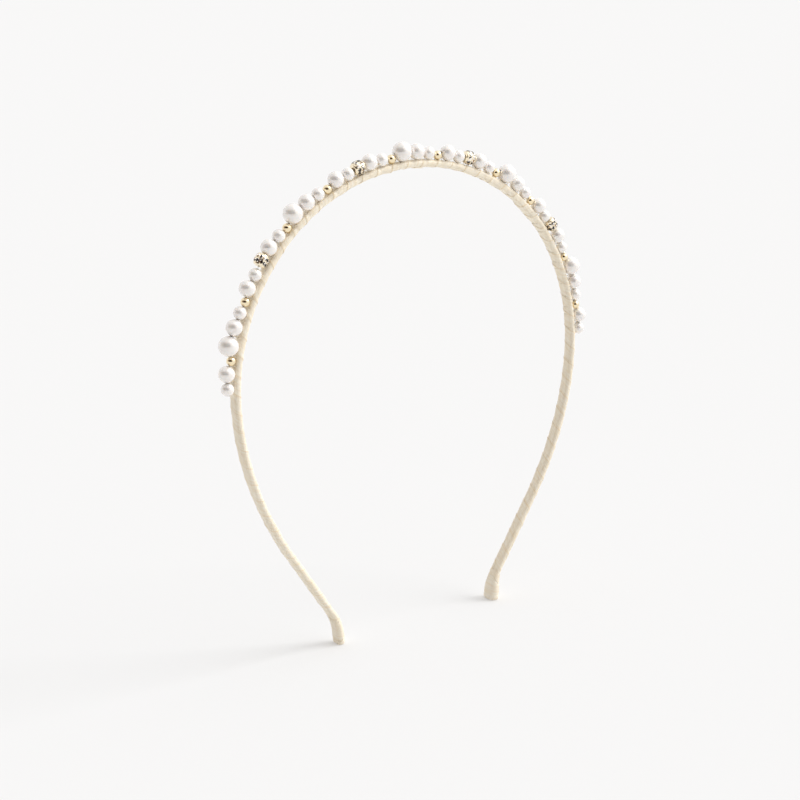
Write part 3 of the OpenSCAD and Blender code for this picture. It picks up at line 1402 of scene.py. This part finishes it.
@dataclass(frozen=True)
class TipFold:
    """The ribbon's end folded over a tip: a flared, puckered cap with creases in front.

    Sizes are in millimetres and heights are over the floor. An angle goes round the cap from its
    back edge, over its outer face. Across is the place over the face that the seam crosses.
    """

    arch: Arch
    side: Side
    flat: float
    columns: int = 72
    rows: int = 84
    across_out: float = 0.4
    across_front: float = 0.3
    top: float = 9.3
    top_lean: float = 0.5
    face_blend: float = 4.0
    stand_off: float = 0.14
    flare_height: float = 6.2
    flare_softness: float = 1.2
    line_width: float = 0.15
    seam_depth: float = 0.22
    crease_depth: float = 0.36
    crease_height: float = 1.3
    crease_slope: float = 0.5
    swell_depth: float = 0.12
    swell_height: float = 2.4
    swell_width: float = 0.5
    pucker_depth: float = 0.045
    puckers: int = 7
    pucker_twist: float = 2.0
    pucker_fade: float = 2.5
    tuck_height: float = 1.1
    tuck_depth: float = 0.75
    chart_width: float = 9.0

    # How far each cap flares, and its seam's height and slope.
    flares: ClassVar[dict[Side, float]] = {Side.LEFT: 0.18, Side.RIGHT: 0.72}
    seams: ClassVar[dict[Side, tuple[float, float]]] = {
        Side.LEFT: (8.4, 0.5),
        Side.RIGHT: (7.0, 1.1),
    }

    def across(self, angle: float) -> float:
        """Place over the cap's face, above zero towards the outer front edge."""
        out = self.side.value * math.sin(angle) * self.arch.thickness * self.across_out
        return out - math.cos(angle) * self.arch.width * self.across_front

    def radius(self, angle: float, above: float) -> float:
        """Reach of the cap from its middle line.

        Args:
            angle: where on the girth, in radians.
            above: height over the floor.

        Returns:
            The reach, with the flare, seam, creases, puckers and tucked bottom edge.
        """
        across = self.across(angle)
        seam_height, seam_slope = self.seams[self.side]
        front = -math.cos(angle) if self.side is Side.LEFT else across / self.arch.width
        front = max(0.0, front)
        flare = 1 / (1 + math.exp((above - self.flare_height) / self.flare_softness))
        seam = bell(above - seam_height + seam_slope * across, self.line_width)
        crease_line = self.crease_height + self.crease_slope * abs(across)
        crease = front * bell(above - crease_line, self.line_width)
        swell = front * bell(above - self.swell_height, self.swell_width)
        wave = math.sin(self.puckers * angle + self.pucker_twist * above)
        reach = (
            self.arch.thickness / 2
            + self.stand_off
            + self.flares[self.side] * flare
            - self.seam_depth * seam
            - self.crease_depth * crease
            + self.swell_depth * swell
            + self.pucker_depth * wave * math.exp(-above / self.pucker_fade)
        )
        tuck = 1 - min(1.0, above / self.tuck_height)
        rounding = math.sqrt(1 - tuck**2)
        return reach - self.tuck_depth * (1 - rounding) * min(1.0, reach)

    def point(self, angle: float, above: float) -> Vector:
        """Finds a point of the cap.

        Args:
            angle: where on the girth, in radians.
            above: height over the floor.

        Returns:
            The point, in metres.
        """
        out, back = math.sin(angle), math.cos(angle)
        r = self.radius(angle, above)
        # The middle of the rounded edge that the angle faces, blended over the flat faces.
        middle = math.copysign(self.flat, back) * min(1.0, abs(back) * self.face_blend)
        s = self.side.value * (self.arch.half_length() - above)
        place = self.arch.place(s, middle + r * back, r * out)
        place.z = max(place.z, 0.0)
        return place

    def build(self) -> bpy.types.Object:
        """Makes the cap: open at the top, and flat on the floor.

        Returns:
            The cap, in one layer of cloth.
        """
        columns, rows = self.columns, self.rows
        points, faces = [], []
        for j in range(rows + 1):
            for k in range(columns):
                angle = 2 * math.pi * k / columns
                top = self.top - self.top_lean * self.across(angle)
                points.append(self.point(angle, top * (1 - j / rows)))
        for j in range(rows):
            for k in range(columns):
                m = (k + 1) % columns
                here, below = j * columns, (j + 1) * columns
                faces.append((here + k, here + m, below + m, below + k))
        faces.append(tuple(rows * columns + k for k in range(columns)))
        piece = mesh_piece("tip_fold", points, faces)
        chart = piece.data.uv_layers.new(name="ribbon")
        for corner in piece.data.loops:
            j, k = divmod(corner.vertex_index, columns)
            u, v = k / columns * self.chart_width, j / rows * self.chart_width
            chart.data[corner.index].uv = (u, 1.0 + v)
        turn_sheet_out(piece)
        return piece


@dataclass
class Ribbon:
    """The satin ribbon: wound in overlapping turns from tip to tip, its ends folded over them.

    Sizes are in millimetres. Each turn lies half over the one before, so there are two layers,
    and the edge of each turn shows as a slanted seam.
    """

    arch: Arch
    row: BeadRow
    satin: Finish
    width: float = 10.0
    pitch: float = 5.6
    reach: float = 11.6
    layer: float = 0.10
    cloth: float = 0.07
    girth_width: float = 3.7
    girth_height: float = 2.0
    end_gap: float = 0.8
    path_step: float = 0.5
    columns_per_turn: int = 40
    rows: int = 28
    fine_rows: float = 0.8
    visible_share: float = 0.56
    edge_share: float = 0.13
    ripple_size: float = 2.6
    ripple_low: float = -0.05
    ripple_high: float = 0.06
    puff_size: float = 7.0
    puff_height: float = 0.5
    puff_share_below: float = 0.12
    puffs_from: float = 118.0
    puffs_full: float = 136.0
    pinch: float = 0.12
    pinch_reach: float = 0.3
    hand: float = -1.0
    flex_reach: float = 6.0
    crisp_angle: float = 60.0

    def shares(
        self, tree: bpy.types.NodeTree
    ) -> tuple[bpy.types.NodeSocket, bpy.types.NodeSocket]:
        """Places on the flat strip, from the grid that is wound.

        Args:
            tree: the winding tree.

        Returns:
            The share along the strip and the share across it, from 0 to 1.
        """
        spot = add_node(tree, "GeometryNodeInputPosition")
        cell = add_node(tree, "ShaderNodeSeparateXYZ", links={0: spot.outputs[0]})
        along = add_node(
            tree, "ShaderNodeMath", {"operation": "ADD"}, {1: 0.5}, {0: cell.outputs[0]}
        ).outputs[0]
        # Most rows of points go to the part of the strip that no other turn covers.
        middle = self.fine_rows - 0.5
        seen = add_node(
            tree,
            "ShaderNodeMapRange",
            values=span(-0.5, middle, 0.0, self.visible_share),
            links={0: cell.outputs[1]},
        )
        unseen = add_node(
            tree,
            "ShaderNodeMapRange",
            values=span(middle, 0.5, 0.0, 1 - self.visible_share),
            links={0: cell.outputs[1]},
        )
        across = add_node(
            tree, "ShaderNodeMath", {"operation": "ADD"},
            links={0: seen.outputs[0], 1: unseen.outputs[0]},
        ).outputs[0]
        return along, across

    def girth(
        self, tree: bpy.types.NodeTree, given: bpy.types.Node, turn: bpy.types.NodeSocket
    ) -> tuple[bpy.types.NodeSocket, bpy.types.NodeSocket]:
        """Goes round the band's girth, a flat oval.

        Args:
            tree: the winding tree.
            given: its group input.
            turn: how many turns a point is from the left tip.

        Returns:
            The place on the oval and its outward direction: x to the back, y out of the arch.
        """
        oval = add_node(
            tree,
            "GeometryNodeCurvePrimitiveQuadrilateral",
            links={
                "Width": given.outputs["Girth width"],
                "Height": given.outputs["Girth height"],
            },
        )
        # Just under half the height, so that two fillets fit on one end.
        corner = add_node(
            tree, "ShaderNodeMath", {"operation": "MULTIPLY"}, {1: 0.499},
            {0: given.outputs["Girth height"]},
        ).outputs[0]
        rounded = add_node(
            tree,
            "GeometryNodeFilletCurve",
            {"mode": "POLY"},
            {"Count": 12},
            {"Curve": oval.outputs[0], "Radius": corner},
        )
        handed = add_node(
            tree, "ShaderNodeMath", {"operation": "MULTIPLY"},
            links={0: turn, 1: given.outputs["Hand"]},
        ).outputs[0]
        share = add_node(
            tree, "ShaderNodeMath", {"operation": "FLOORED_MODULO"}, {1: 1.0}, {0: handed}
        ).outputs[0]
        place = add_node(
            tree,
            "GeometryNodeSampleCurve",
            {"mode": "FACTOR"},
            links={"Curves": rounded.outputs[0], "Factor": share},
        ).outputs["Position"]
        # The direction is away from the nearest point of the oval's flat middle line.
        local = add_node(tree, "ShaderNodeSeparateXYZ", links={0: place}).outputs
        spare = add_node(
            tree, "ShaderNodeMath", {"operation": "SUBTRACT"},
            links={0: given.outputs["Girth width"], 1: given.outputs["Girth height"]},
        ).outputs[0]
        ends = [
            add_node(
                tree, "ShaderNodeMath", {"operation": "MULTIPLY"}, {1: half}, {0: spare}
            ).outputs[0]
            for half in (-0.5, 0.5)
        ]
        nearest = add_node(
            tree, "ShaderNodeClamp", links={"Value": local[0], "Min": ends[0], "Max": ends[1]}
        ).outputs[0]
        lean = add_node(
            tree, "ShaderNodeMath", {"operation": "SUBTRACT"}, links={0: local[0], 1: nearest}
        ).outputs[0]
        away = add_node(tree, "ShaderNodeCombineXYZ", links={0: lean, 1: local[1]}).outputs[0]
        direction = add_node(
            tree, "ShaderNodeVectorMath", {"operation": "NORMALIZE"}, links={0: away}
        ).outputs[0]
        return place, direction

    def on_band(
        self,
        tree: bpy.types.NodeTree,
        flat: bpy.types.NodeSocket,
        outward: bpy.types.NodeSocket,
    ) -> bpy.types.NodeSocket:
        """Turns a vector on the girth's oval into one on the band.

        Args:
            tree: the winding tree.
            flat: the vector, x to the back and y out of the arch.
            outward: the direction out of the arch.

        Returns:
            The vector in the headband's own frame.
        """
        parts = add_node(tree, "ShaderNodeSeparateXYZ", links={0: flat}).outputs
        back = add_node(tree, "ShaderNodeCombineXYZ", links={1: parts[0]}).outputs[0]
        out = add_node(
            tree, "ShaderNodeVectorMath", {"operation": "SCALE"},
            links={0: outward, "Scale": parts[1]},
        ).outputs[0]
        return add_node(
            tree, "ShaderNodeVectorMath", {"operation": "ADD"}, links={0: back, 1: out}
        ).outputs[0]

    def layer_lift(
        self, tree: bpy.types.NodeTree, given: bpy.types.Node, across: bpy.types.NodeSocket
    ) -> bpy.types.NodeSocket:
        """Lifts a turn over the ones below it.

        Args:
            tree: the winding tree.
            given: its group input.
            across: the share across the strip, from its leading edge.

        Returns:
            Two layers at the leading edge, then one, and none where the next turn covers it.
        """
        covered = self.pitch / self.reach
        steps = [
            add_node(
                tree, "ShaderNodeMapRange", {"interpolation_type": "SMOOTHSTEP"},
                span(start, start + self.edge_share, 1.0, 0.0), {0: across},
            ).outputs[0]
            for start in (0.0, covered)
        ]
        layers = add_node(
            tree, "ShaderNodeMath", {"operation": "ADD"}, links={0: steps[0], 1: steps[1]}
        ).outputs[0]
        return add_node(
            tree, "ShaderNodeMath", {"operation": "MULTIPLY"},
            links={0: layers, 1: given.outputs["Layer"]},
        ).outputs[0]

    def puffs(
        self,
        tree: bpy.types.NodeTree,
        base: bpy.types.NodeSocket,
        direction: bpy.types.NodeSocket,
        middle: bpy.types.NodeSocket,
    ) -> bpy.types.NodeSocket:
        """Loosens the cloth: ripples everywhere, and puffs on the inner face near the crown.

        Args:
            tree: the winding tree.
            base: the place on the girth, on the band.
            direction: the girth's outward direction, on its oval.
            middle: the place on the arch's middle line.

        Returns:
            How far the cloth stands off.
        """
        ripple = add_node(
            tree, "ShaderNodeTexNoise",
            values={"Scale": per_mm(self.ripple_size), "Detail": 1.5}, links={"Vector": base},
        ).outputs[0]
        ripples = add_node(
            tree, "ShaderNodeMapRange",
            values=span(0.3, 0.7, self.ripple_low * MM, self.ripple_high * MM),
            links={0: ripple},
        ).outputs[0]
        swell = add_node(
            tree, "ShaderNodeTexNoise",
            values={"Scale": per_mm(self.puff_size), "Detail": 0.0}, links={"Vector": base},
        ).outputs[0]
        loose = add_node(
            tree, "ShaderNodeMapRange", {"interpolation_type": "SMOOTHSTEP"},
            span(0.5, 0.66, 0.0, self.puff_height * MM), {0: swell},
        ).outputs[0]
        out = add_node(tree, "ShaderNodeSeparateXYZ", links={0: direction}).outputs[1]
        inner = add_node(
            tree, "ShaderNodeMapRange", {"interpolation_type": "SMOOTHSTEP"},
            span(-0.2, -0.95, 0.0, 1.0), {0: out},
        ).outputs[0]
        height = add_node(tree, "ShaderNodeSeparateXYZ", links={0: middle}).outputs[2]
        near_crown = add_node(
            tree, "ShaderNodeMapRange", {"interpolation_type": "SMOOTHSTEP"},
            span(self.puffs_from * MM, self.puffs_full * MM, self.puff_share_below, 1.0),
            {0: height},
        ).outputs[0]
        where = add_node(
            tree, "ShaderNodeMath", {"operation": "MULTIPLY"}, links={0: inner, 1: near_crown}
        ).outputs[0]
        return add_node(
            tree, "ShaderNodeMath", {"operation": "MULTIPLY_ADD"},
            links={0: loose, 1: where, 2: ripples},
        ).outputs[0]

    def pinches(
        self, tree: bpy.types.NodeTree, given: bpy.types.Node, base: bpy.types.NodeSocket
    ) -> bpy.types.NodeSocket:
        """Presses the cloth in along the loops of the binding thread.

        Args:
            tree: the winding tree.
            given: its group input.
            base: the place on the girth, on the band.

        Returns:
            How far the cloth is pressed in, a bell curve of the distance to the nearest loop.
        """
        loops = add_node(
            tree, "GeometryNodeObjectInfo", links={"Object": given.outputs["Loops"]}
        )
        near = add_node(
            tree,
            "GeometryNodeProximity",
            {"target_element": "EDGES"},
            links={0: loops.outputs["Geometry"], "Source Position": base},
        )
        ratio = add_node(
            tree, "ShaderNodeMath", {"operation": "DIVIDE"},
            links={0: near.outputs["Distance"], 1: given.outputs["Pinch reach"]},
        ).outputs[0]
        squared = add_node(
            tree, "ShaderNodeMath", {"operation": "MULTIPLY"}, links={0: ratio, 1: ratio}
        ).outputs[0]
        fall = add_node(
            tree, "ShaderNodeMath", {"operation": "MULTIPLY"}, {1: -1.0}, {0: squared}
        ).outputs[0]
        hold = add_node(
            tree, "ShaderNodeMath", {"operation": "EXPONENT"}, links={0: fall}
        ).outputs[0]
        return add_node(
            tree, "ShaderNodeMath", {"operation": "MULTIPLY"},
            links={0: hold, 1: given.outputs["Pinch"]},
        ).outputs[0]

    def chart(
        self,
        tree: bpy.types.NodeTree,
        given: bpy.types.Node,
        turn: bpy.types.NodeSocket,
        across: bpy.types.NodeSocket,
    ) -> bpy.types.NodeSocket:
        """Places on the flat ribbon, for its weave.

        Args:
            tree: the winding tree.
            given: its group input.
            turn: how many turns a point is from the left tip.
            across: the share across the strip.

        Returns:
            A vector with millimetres along the ribbon and across it.
        """
        run = add_node(
            tree, "ShaderNodeMath", {"operation": "MULTIPLY"},
            links={0: turn, 1: given.outputs["Turn length"]},
        ).outputs[0]
        breadth = add_node(
            tree, "ShaderNodeMath", {"operation": "MULTIPLY"},
            links={0: across, 1: given.outputs["Ribbon width"]},
        ).outputs[0]
        return add_node(tree, "ShaderNodeCombineXYZ", links={0: run, 1: breadth}).outputs[0]

    def winding_tree(self) -> bpy.types.NodeTree:
        """Makes the tree that winds a strip round the path, with seams, puffs and pinches.

        Returns:
            The tree, which takes the arch's middle line as its geometry.
        """
        numbers = (
            "First turn", "Turns", "Pitch", "Reach", "Layer", "Ribbon width", "Turn length",
            "Girth width", "Girth height", "Pinch", "Pinch reach", "Hand",
        )
        inputs = dict.fromkeys(numbers, Socket.NUMBER)
        inputs |= dict.fromkeys(("Columns", "Rows"), Socket.COUNT)
        inputs |= {"Loops": Socket.PIECE, "Finish": Socket.FINISH}
        tree = geometry_tree("satin_winding", inputs)
        given = add_node(tree, "NodeGroupInput")
        path = add_node(tree, "GeometryNodeMeshToCurve", links={0: given.outputs["Geometry"]})
        grid = add_node(
            tree,
            "GeometryNodeMeshGrid",
            values={"Size X": 1.0, "Size Y": 1.0},
            links={
                "Vertices X": given.outputs["Columns"],
                "Vertices Y": given.outputs["Rows"],
            },
        )
        along, across = self.shares(tree)
        turn = add_node(
            tree, "ShaderNodeMath", {"operation": "MULTIPLY_ADD"},
            links={0: along, 1: given.outputs["Turns"], 2: given.outputs["First turn"]},
        ).outputs[0]
        start = add_node(
            tree, "ShaderNodeMath", {"operation": "MULTIPLY"},
            links={0: turn, 1: given.outputs["Pitch"]},
        ).outputs[0]
        length = add_node(
            tree, "ShaderNodeMath", {"operation": "MULTIPLY_ADD"},
            links={0: across, 1: given.outputs["Reach"], 2: start},
        ).outputs[0]
        station = add_node(
            tree,
            "GeometryNodeSampleCurve",
            {"mode": "LENGTH"},
            links={"Curves": path.outputs[0], "Length": length},
        ).outputs
        outward = add_node(
            tree, "ShaderNodeVectorMath", {"operation": "CROSS_PRODUCT"},
            {1: tuple(Y_AXIS)}, {0: station["Tangent"]},
        ).outputs[0]
        place, direction = self.girth(tree, given, turn)
        base = add_node(
            tree, "ShaderNodeVectorMath", {"operation": "ADD"},
            links={0: station["Position"], 1: self.on_band(tree, place, outward)},
        ).outputs[0]
        lift = self.layer_lift(tree, given, across)
        puffs = self.puffs(tree, base, direction, station["Position"])
        raised = add_node(
            tree, "ShaderNodeMath", {"operation": "ADD"}, links={0: lift, 1: puffs}
        ).outputs[0]
        height = add_node(
            tree, "ShaderNodeMath", {"operation": "SUBTRACT"},
            links={0: raised, 1: self.pinches(tree, given, base)},
        ).outputs[0]
        rise = add_node(
            tree, "ShaderNodeVectorMath", {"operation": "SCALE"},
            links={0: self.on_band(tree, direction, outward), "Scale": height},
        ).outputs[0]
        surface = add_node(
            tree, "ShaderNodeVectorMath", {"operation": "ADD"}, links={0: base, 1: rise}
        ).outputs[0]
        charted = add_node(
            tree,
            "GeometryNodeStoreNamedAttribute",
            {"data_type": "FLOAT2", "domain": "CORNER"},
            {"Name": "ribbon"},
            {"Geometry": grid.outputs["Mesh"], "Value": self.chart(tree, given, turn, across)},
        )
        wound = add_node(
            tree,
            "GeometryNodeSetPosition",
            links={"Geometry": charted.outputs[0], "Position": surface},
        )
        real = add_node(tree, "GeometryNodeRealizeInstances", links={0: wound.outputs[0]})
        finished = add_node(
            tree,
            "GeometryNodeSetMaterial",
            links={"Geometry": real.outputs[0], "Material": given.outputs["Finish"]},
        )
        add_node(tree, "NodeGroupOutput", links={0: finished.outputs[0]})
        return tree

    def path(self) -> bpy.types.Object:
        """Makes the arch's middle line as a chain of short edges.

        Returns:
            The chain, from the left tip to the right one.
        """
        half = self.arch.half_length() - self.end_gap
        count = round(2 * half / self.path_step)
        points = [self.arch.point(-half + 2 * half * k / count) for k in range(count + 1)]
        return mesh_piece("band_path", points, [], [(k, k + 1) for k in range(count)])

    def sizes(self) -> dict[str, float]:
        """Gathers the sizes of the winding that both halves share.

        Returns:
            Lengths in metres, by the tree's inputs.
        """
        lengths = {
            "Pitch": self.pitch,
            "Reach": self.reach,
            "Layer": self.layer,
            "Girth width": self.girth_width,
            "Girth height": self.girth_height,
            "Pinch": self.pinch,
            "Pinch reach": self.pinch_reach,
        }
        return {name: length * MM for name, length in lengths.items()}

    def build(self, loops: bpy.types.Object) -> None:
        """Winds the ribbon in two halves that meet at the crown.

        Args:
            loops: the lines of all binding loops.
        """
        satin = self.satin.build()
        path = self.path()
        total = (2 * (self.arch.half_length() - self.end_gap) - self.reach) / self.pitch
        turns = total / 2
        flat_side = self.girth_width - self.girth_height
        turn_length = math.hypot(2 * flat_side + math.pi * self.girth_height, self.pitch)
        tree = self.winding_tree()
        inputs = self.sizes() | {
            "Turns": turns,
            "Ribbon width": self.width,
            "Turn length": turn_length,
            "Columns": round(turns * self.columns_per_turn),
            "Rows": self.rows,
            "Hand": self.hand,
            "Loops": loops,
            "Finish": satin,
        }
        halves = (
            (Side.LEFT, 0.0, ("left_wrap", "left_end_tab", "crown_wrap")),
            (Side.RIGHT, turns, ("right_wrap", "right_end_tab")),
        )
        for number, (side, first, nodes) in enumerate(halves):
            word = side.name.lower()
            strip = grow("strip", path, tree, inputs | {"First turn": first})
            turn_sheet_out(strip)
            fold = TipFold(self.arch, side, flat_side / 2).build()
            piece = join(f"satin_ribbon_{word}", [strip, fold])
            thicken = piece.modifiers.new("cloth", "SOLIDIFY")
            thicken.thickness = self.cloth * MM
            thicken.offset = -1.0
            graph = bpy.context.evaluated_depsgraph_get()
            solid = bpy.data.meshes.new_from_object(piece.evaluated_get(graph))
            piece.modifiers.remove(thicken)
            piece.data = solid
            smooth(piece, self.crisp_angle)
            dress(piece, satin)
            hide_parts(*nodes)
            flex = self.row.gap_place(self.row.flex_after[number])
            start, end = (self.arch.point(flex + way * self.flex_reach) for way in (-1, 1))
            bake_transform(piece)
            log.info("%s made with %d faces", piece.name, len(piece.data.polygons))
        bpy.data.objects.remove(path)


@dataclass
class Strip:
    """The spring steel strip inside the ribbon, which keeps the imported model's shape."""

    steel: Finish

    def build(self) -> None:
        """Gives the strip's three lengths their steel."""
        steel = self.steel.build()
        for word in BODY_WORDS.values():
            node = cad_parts[f"{word}_core"]
            node.data.materials.clear()
            node.data.materials.append(steel)


# ---------------------------------------------------------------- the studio


@dataclass(frozen=True)
class Gap:
    """An oval gap in the tent: its middle and half size, in sines of angles, and its light."""

    centre: tuple[float, float]
    half_size: tuple[float, float]
    light: float


@dataclass
class Studio:
    """A white floor in a white tent, one large soft light, and the camera."""

    azimuth: float = -36.16
    elevation: float = 14.43
    roll: float = -0.69
    lens: float = 71.62
    aim: tuple[float, float, float] = (-0.0040, -0.0710, 0.4780)
    floor_size: float = 600.0
    floor_glow: float = 0.258
    floor_colour: float = 0.56
    tent_left: float = 0.95
    tent_right: float = 0.93
    key: float = 0.5
    sun_strength: float = 1.22
    sun_angle: float = 28.0
    sun_from: tuple[float, float, float] = (0.658, -0.320, 0.680)
    key_inner: float = 15.0
    key_outer: float = 60.0
    door: Gap = Gap((-0.28, 0.18), (0.74, 0.46), 0.35)
    lens_gap: Gap = Gap((-0.08, 0.04), (0.62, 0.32), 0.04)
    gap_softness: float = 0.25
    room: str = "#D9A878"
    paper: str = "#F8F8F8"

    def directions(self) -> tuple[Vector, Vector, Vector]:
        """Finds how the camera stands, before its roll.

        Returns:
            Its right, up and back directions.
        """
        a, e = math.radians(self.azimuth), math.radians(self.elevation)
        back = Vector(
            (math.sin(a) * math.cos(e), -math.cos(a) * math.cos(e), math.sin(e))
        )
        right = Vector((math.cos(a), math.sin(a), 0.0))
        return right, back.cross(right), back

    def camera(self, crown: Vector) -> None:
        """Sets the camera up, looking at the arch from the front left.

        Args:
            crown: the arch's middle line at the crown.
        """
        right, up, back = self.directions()
        b = math.radians(self.roll)
        right, up = (
            right * math.cos(b) + up * math.sin(b),
            up * math.cos(b) - right * math.sin(b),
        )
        x, y, z = self.aim
        data = bpy.data.cameras.new("camera")
        data.lens, data.sensor_width = self.lens, 36.0
        data.clip_start, data.clip_end = 0.01, 1000.0
        camera = bpy.data.objects.new("camera", data)
        turn = Matrix((right, up, back)).transposed().to_4x4()
        camera.matrix_world = Matrix.Translation(crown + right * x + up * y + back * z) @ turn
        bpy.context.scene.collection.objects.link(camera)
        bpy.context.scene.camera = camera

    def floor(self) -> None:
        """A wide white floor that glows a little, so that the shadows on it stay pale."""
        half = self.floor_size / 2
        corners = [(-half, -half, 0), (half, -half, 0), (half, half, 0), (-half, half, 0)]
        floor = mesh_piece("floor", [Vector(c) for c in corners], [(0, 1, 2, 3)])
        material = bpy.data.materials.new("white_acrylic_floor")
        material.use_nodes = True
        tree = material.node_tree
        tree.nodes.clear()
        glow = add_node(
            tree,
            "ShaderNodeEmission",
            values={"Color": linear(WHITE), "Strength": self.floor_glow},
        )
        matt = add_node(
            tree,
            "ShaderNodeBsdfDiffuse",
            values={"Color": (self.floor_colour,) * 3 + (1.0,)},
        )
        both = add_node(
            tree, "ShaderNodeAddShader", links={0: glow.outputs[0], 1: matt.outputs[0]}
        )
        add_node(tree, "ShaderNodeOutputMaterial", links={"Surface": both.outputs[0]})
        floor.data.materials.append(material)

    def sun(self) -> None:
        """The large soft light at the right, whose shadows run to the left of the tips."""
        data = bpy.data.lights.new("softbox", "SUN")
        data.energy = self.sun_strength
        data.angle = math.radians(self.sun_angle)
        lamp = bpy.data.objects.new("softbox", data)
        turn = Z_AXIS.rotation_difference(Vector(self.sun_from)).to_matrix()
        lamp.matrix_world = turn.to_4x4()
        bpy.context.scene.collection.objects.link(lamp)

    def gap_light(
        self,
        tree: bpy.types.NodeTree,
        gap: Gap,
        plane: bpy.types.NodeSocket,
        ahead: bpy.types.NodeSocket,
    ) -> bpy.types.NodeSocket:
        """Darkens the tent where it has a gap.

        Args:
            tree: the world's tree.
            gap: the gap.
            plane: how far right and up a direction points, in sines of angles.
            ahead: 1 for directions to the gap's side of the tent, and 0 for the others.

        Returns:
            The share of the light that is left.
        """
        moved = add_node(
            tree, "ShaderNodeVectorMath", {"operation": "SUBTRACT"},
            {1: (*gap.centre, 0.0)}, {0: plane},
        ).outputs[0]
        scaled = add_node(
            tree, "ShaderNodeVectorMath", {"operation": "MULTIPLY"},
            {1: (*(1 / size for size in gap.half_size), 0.0)}, {0: moved},
        ).outputs[0]
        reach = add_node(
            tree, "ShaderNodeVectorMath", {"operation": "LENGTH"}, links={0: scaled}
        ).outputs["Value"]
        inside = add_node(
            tree, "ShaderNodeMapRange", {"interpolation_type": "SMOOTHSTEP"},
            span(1 - self.gap_softness, 1 + self.gap_softness, 1 - gap.light, 0.0), {0: reach},
        ).outputs[0]
        lost = add_node(
            tree, "ShaderNodeMath", {"operation": "MULTIPLY"}, links={0: inside, 1: ahead}
        ).outputs[0]
        return add_node(
            tree, "ShaderNodeMath", {"operation": "SUBTRACT"}, {0: 1.0}, {1: lost}
        ).outputs[0]

    def tent(self) -> None:
        """The white tent as a world, with gaps in front that show the dim, warm room."""
        right, up, back = self.directions()
        world = bpy.data.worlds.new("tent")
        bpy.context.scene.world = world
        world.use_nodes = True
        tree = world.node_tree
        tree.nodes.clear()
        place = add_node(tree, "ShaderNodeTexCoord").outputs["Generated"]
        key = Vector(self.sun_from).normalized()
        facing = {}
        for word, direction in (("right", right), ("up", up), ("back", back), ("key", key)):
            facing[word] = add_node(
                tree, "ShaderNodeVectorMath", {"operation": "DOT_PRODUCT"},
                {1: tuple(direction)}, {0: place},
            ).outputs["Value"]
        cloth = add_node(
            tree, "ShaderNodeMapRange", {"interpolation_type": "SMOOTHSTEP"},
            span(-0.9, 0.9, self.tent_left, self.tent_right), {0: facing["right"]},
        ).outputs[0]
        # The soft light brightens the cloth around it.
        outer, inner = (math.cos(math.radians(a)) for a in (self.key_outer, self.key_inner))
        light = add_node(
            tree, "ShaderNodeMapRange", {"interpolation_type": "SMOOTHSTEP"},
            span(outer, inner, 0.0, self.key), {0: facing["key"]},
        ).outputs[0]
        lit = add_node(
            tree, "ShaderNodeMath", {"operation": "ADD"}, links={0: cloth, 1: light}
        ).outputs[0]
        plane = add_node(
            tree, "ShaderNodeCombineXYZ", links={0: facing["right"], 1: facing["up"]}
        ).outputs[0]
        ahead = add_node(
            tree, "ShaderNodeMapRange", values=span(0.0, 0.25, 0.0, 1.0),
            links={0: facing["back"]},
        ).outputs[0]
        gaps = [self.gap_light(tree, gap, plane, ahead) for gap in (self.door, self.lens_gap)]
        share = add_node(
            tree, "ShaderNodeMath", {"operation": "MULTIPLY"}, links={0: gaps[0], 1: gaps[1]}
        ).outputs[0]
        strength = add_node(
            tree, "ShaderNodeMath", {"operation": "MULTIPLY"}, links={0: lit, 1: share}
        ).outputs[0]
        tint = add_node(
            tree,
            "ShaderNodeMix",
            {"data_type": "RGBA"},
            {6: linear(self.room), 7: linear(WHITE)},
            {0: share},
        )
        tent = add_node(
            tree,
            "ShaderNodeBackground",
            links={"Color": tint.outputs[2], "Strength": strength},
        )
        # Only reflections and light come from the tent; behind the object is plain paper.
        paper = add_node(
            tree, "ShaderNodeBackground", values={"Color": linear(self.paper), "Strength": 1.0}
        )
        seen = add_node(tree, "ShaderNodeLightPath")
        shown = add_node(
            tree,
            "ShaderNodeMixShader",
            links={
                0: seen.outputs["Is Camera Ray"],
                1: tent.outputs[0],
                2: paper.outputs[0],
            },
        )
        add_node(tree, "ShaderNodeOutputWorld", links={"Surface": shown.outputs[0]})

    def build(self, crown: Vector) -> None:
        """Builds the studio.

        Args:
            crown: the arch's middle line at the crown.
        """
        self.camera(crown)
        self.floor()
        self.sun()
        self.tent()
        view = bpy.context.scene.view_settings
        view.view_transform = "Standard"
        log.info("studio made")


# ---------------------------------------------------------------- the whole headband


def main() -> None:
    """Builds the studio and the headband."""
    logging.basicConfig(level=logging.INFO, format="%(message)s")
    arch = Arch()
    row = BeadRow(arch)
    Studio().build(arch.point(0.0))
    Strip(SpringStrip("cold_rolled_spring_steel", "spring_steel", "#8C8C8E", 0.3, 1.0)).build()
    Pearls(
        row,
        Nacre("pearl_lacquer", "pearl", "#FCF8F3", 0.25, 0.3),
        Plating("polished_pale_gold", "gold", "#F6E6C4", 0.06, 1.0),
    ).build()
    Barrels(
        row,
        Plating("barrel_gold_plate", "barrel_metal", "#FAEDD2", 0.08, 1.0),
        # The crystal's colour is the light tone of its painted reflections.
        FoiledCrystal("foiled_cut_glass", "crystal", "#FFF8EE", 0.05, 0.9),
    ).build()
    threads = Threads(
        row,
        DrawnThread("bead_nylon", "bead_thread", "#E8E6E0", 0.3),
        DrawnThread("binding_nylon", "binding_thread", "#E4DAC4", 0.3),
    )
    lines = threads.bindings()
    loops = join("all_loops", [new_object("loops", line.data) for line in lines.values()])
    Ribbon(arch, row, Satin("satin_ribbon", "satin_ribbon", "#FEF5E2", 0.42)).build(loops)
    bpy.data.objects.remove(loops)
    threads.build(lines)


if __name__ == "__main__":
    main()
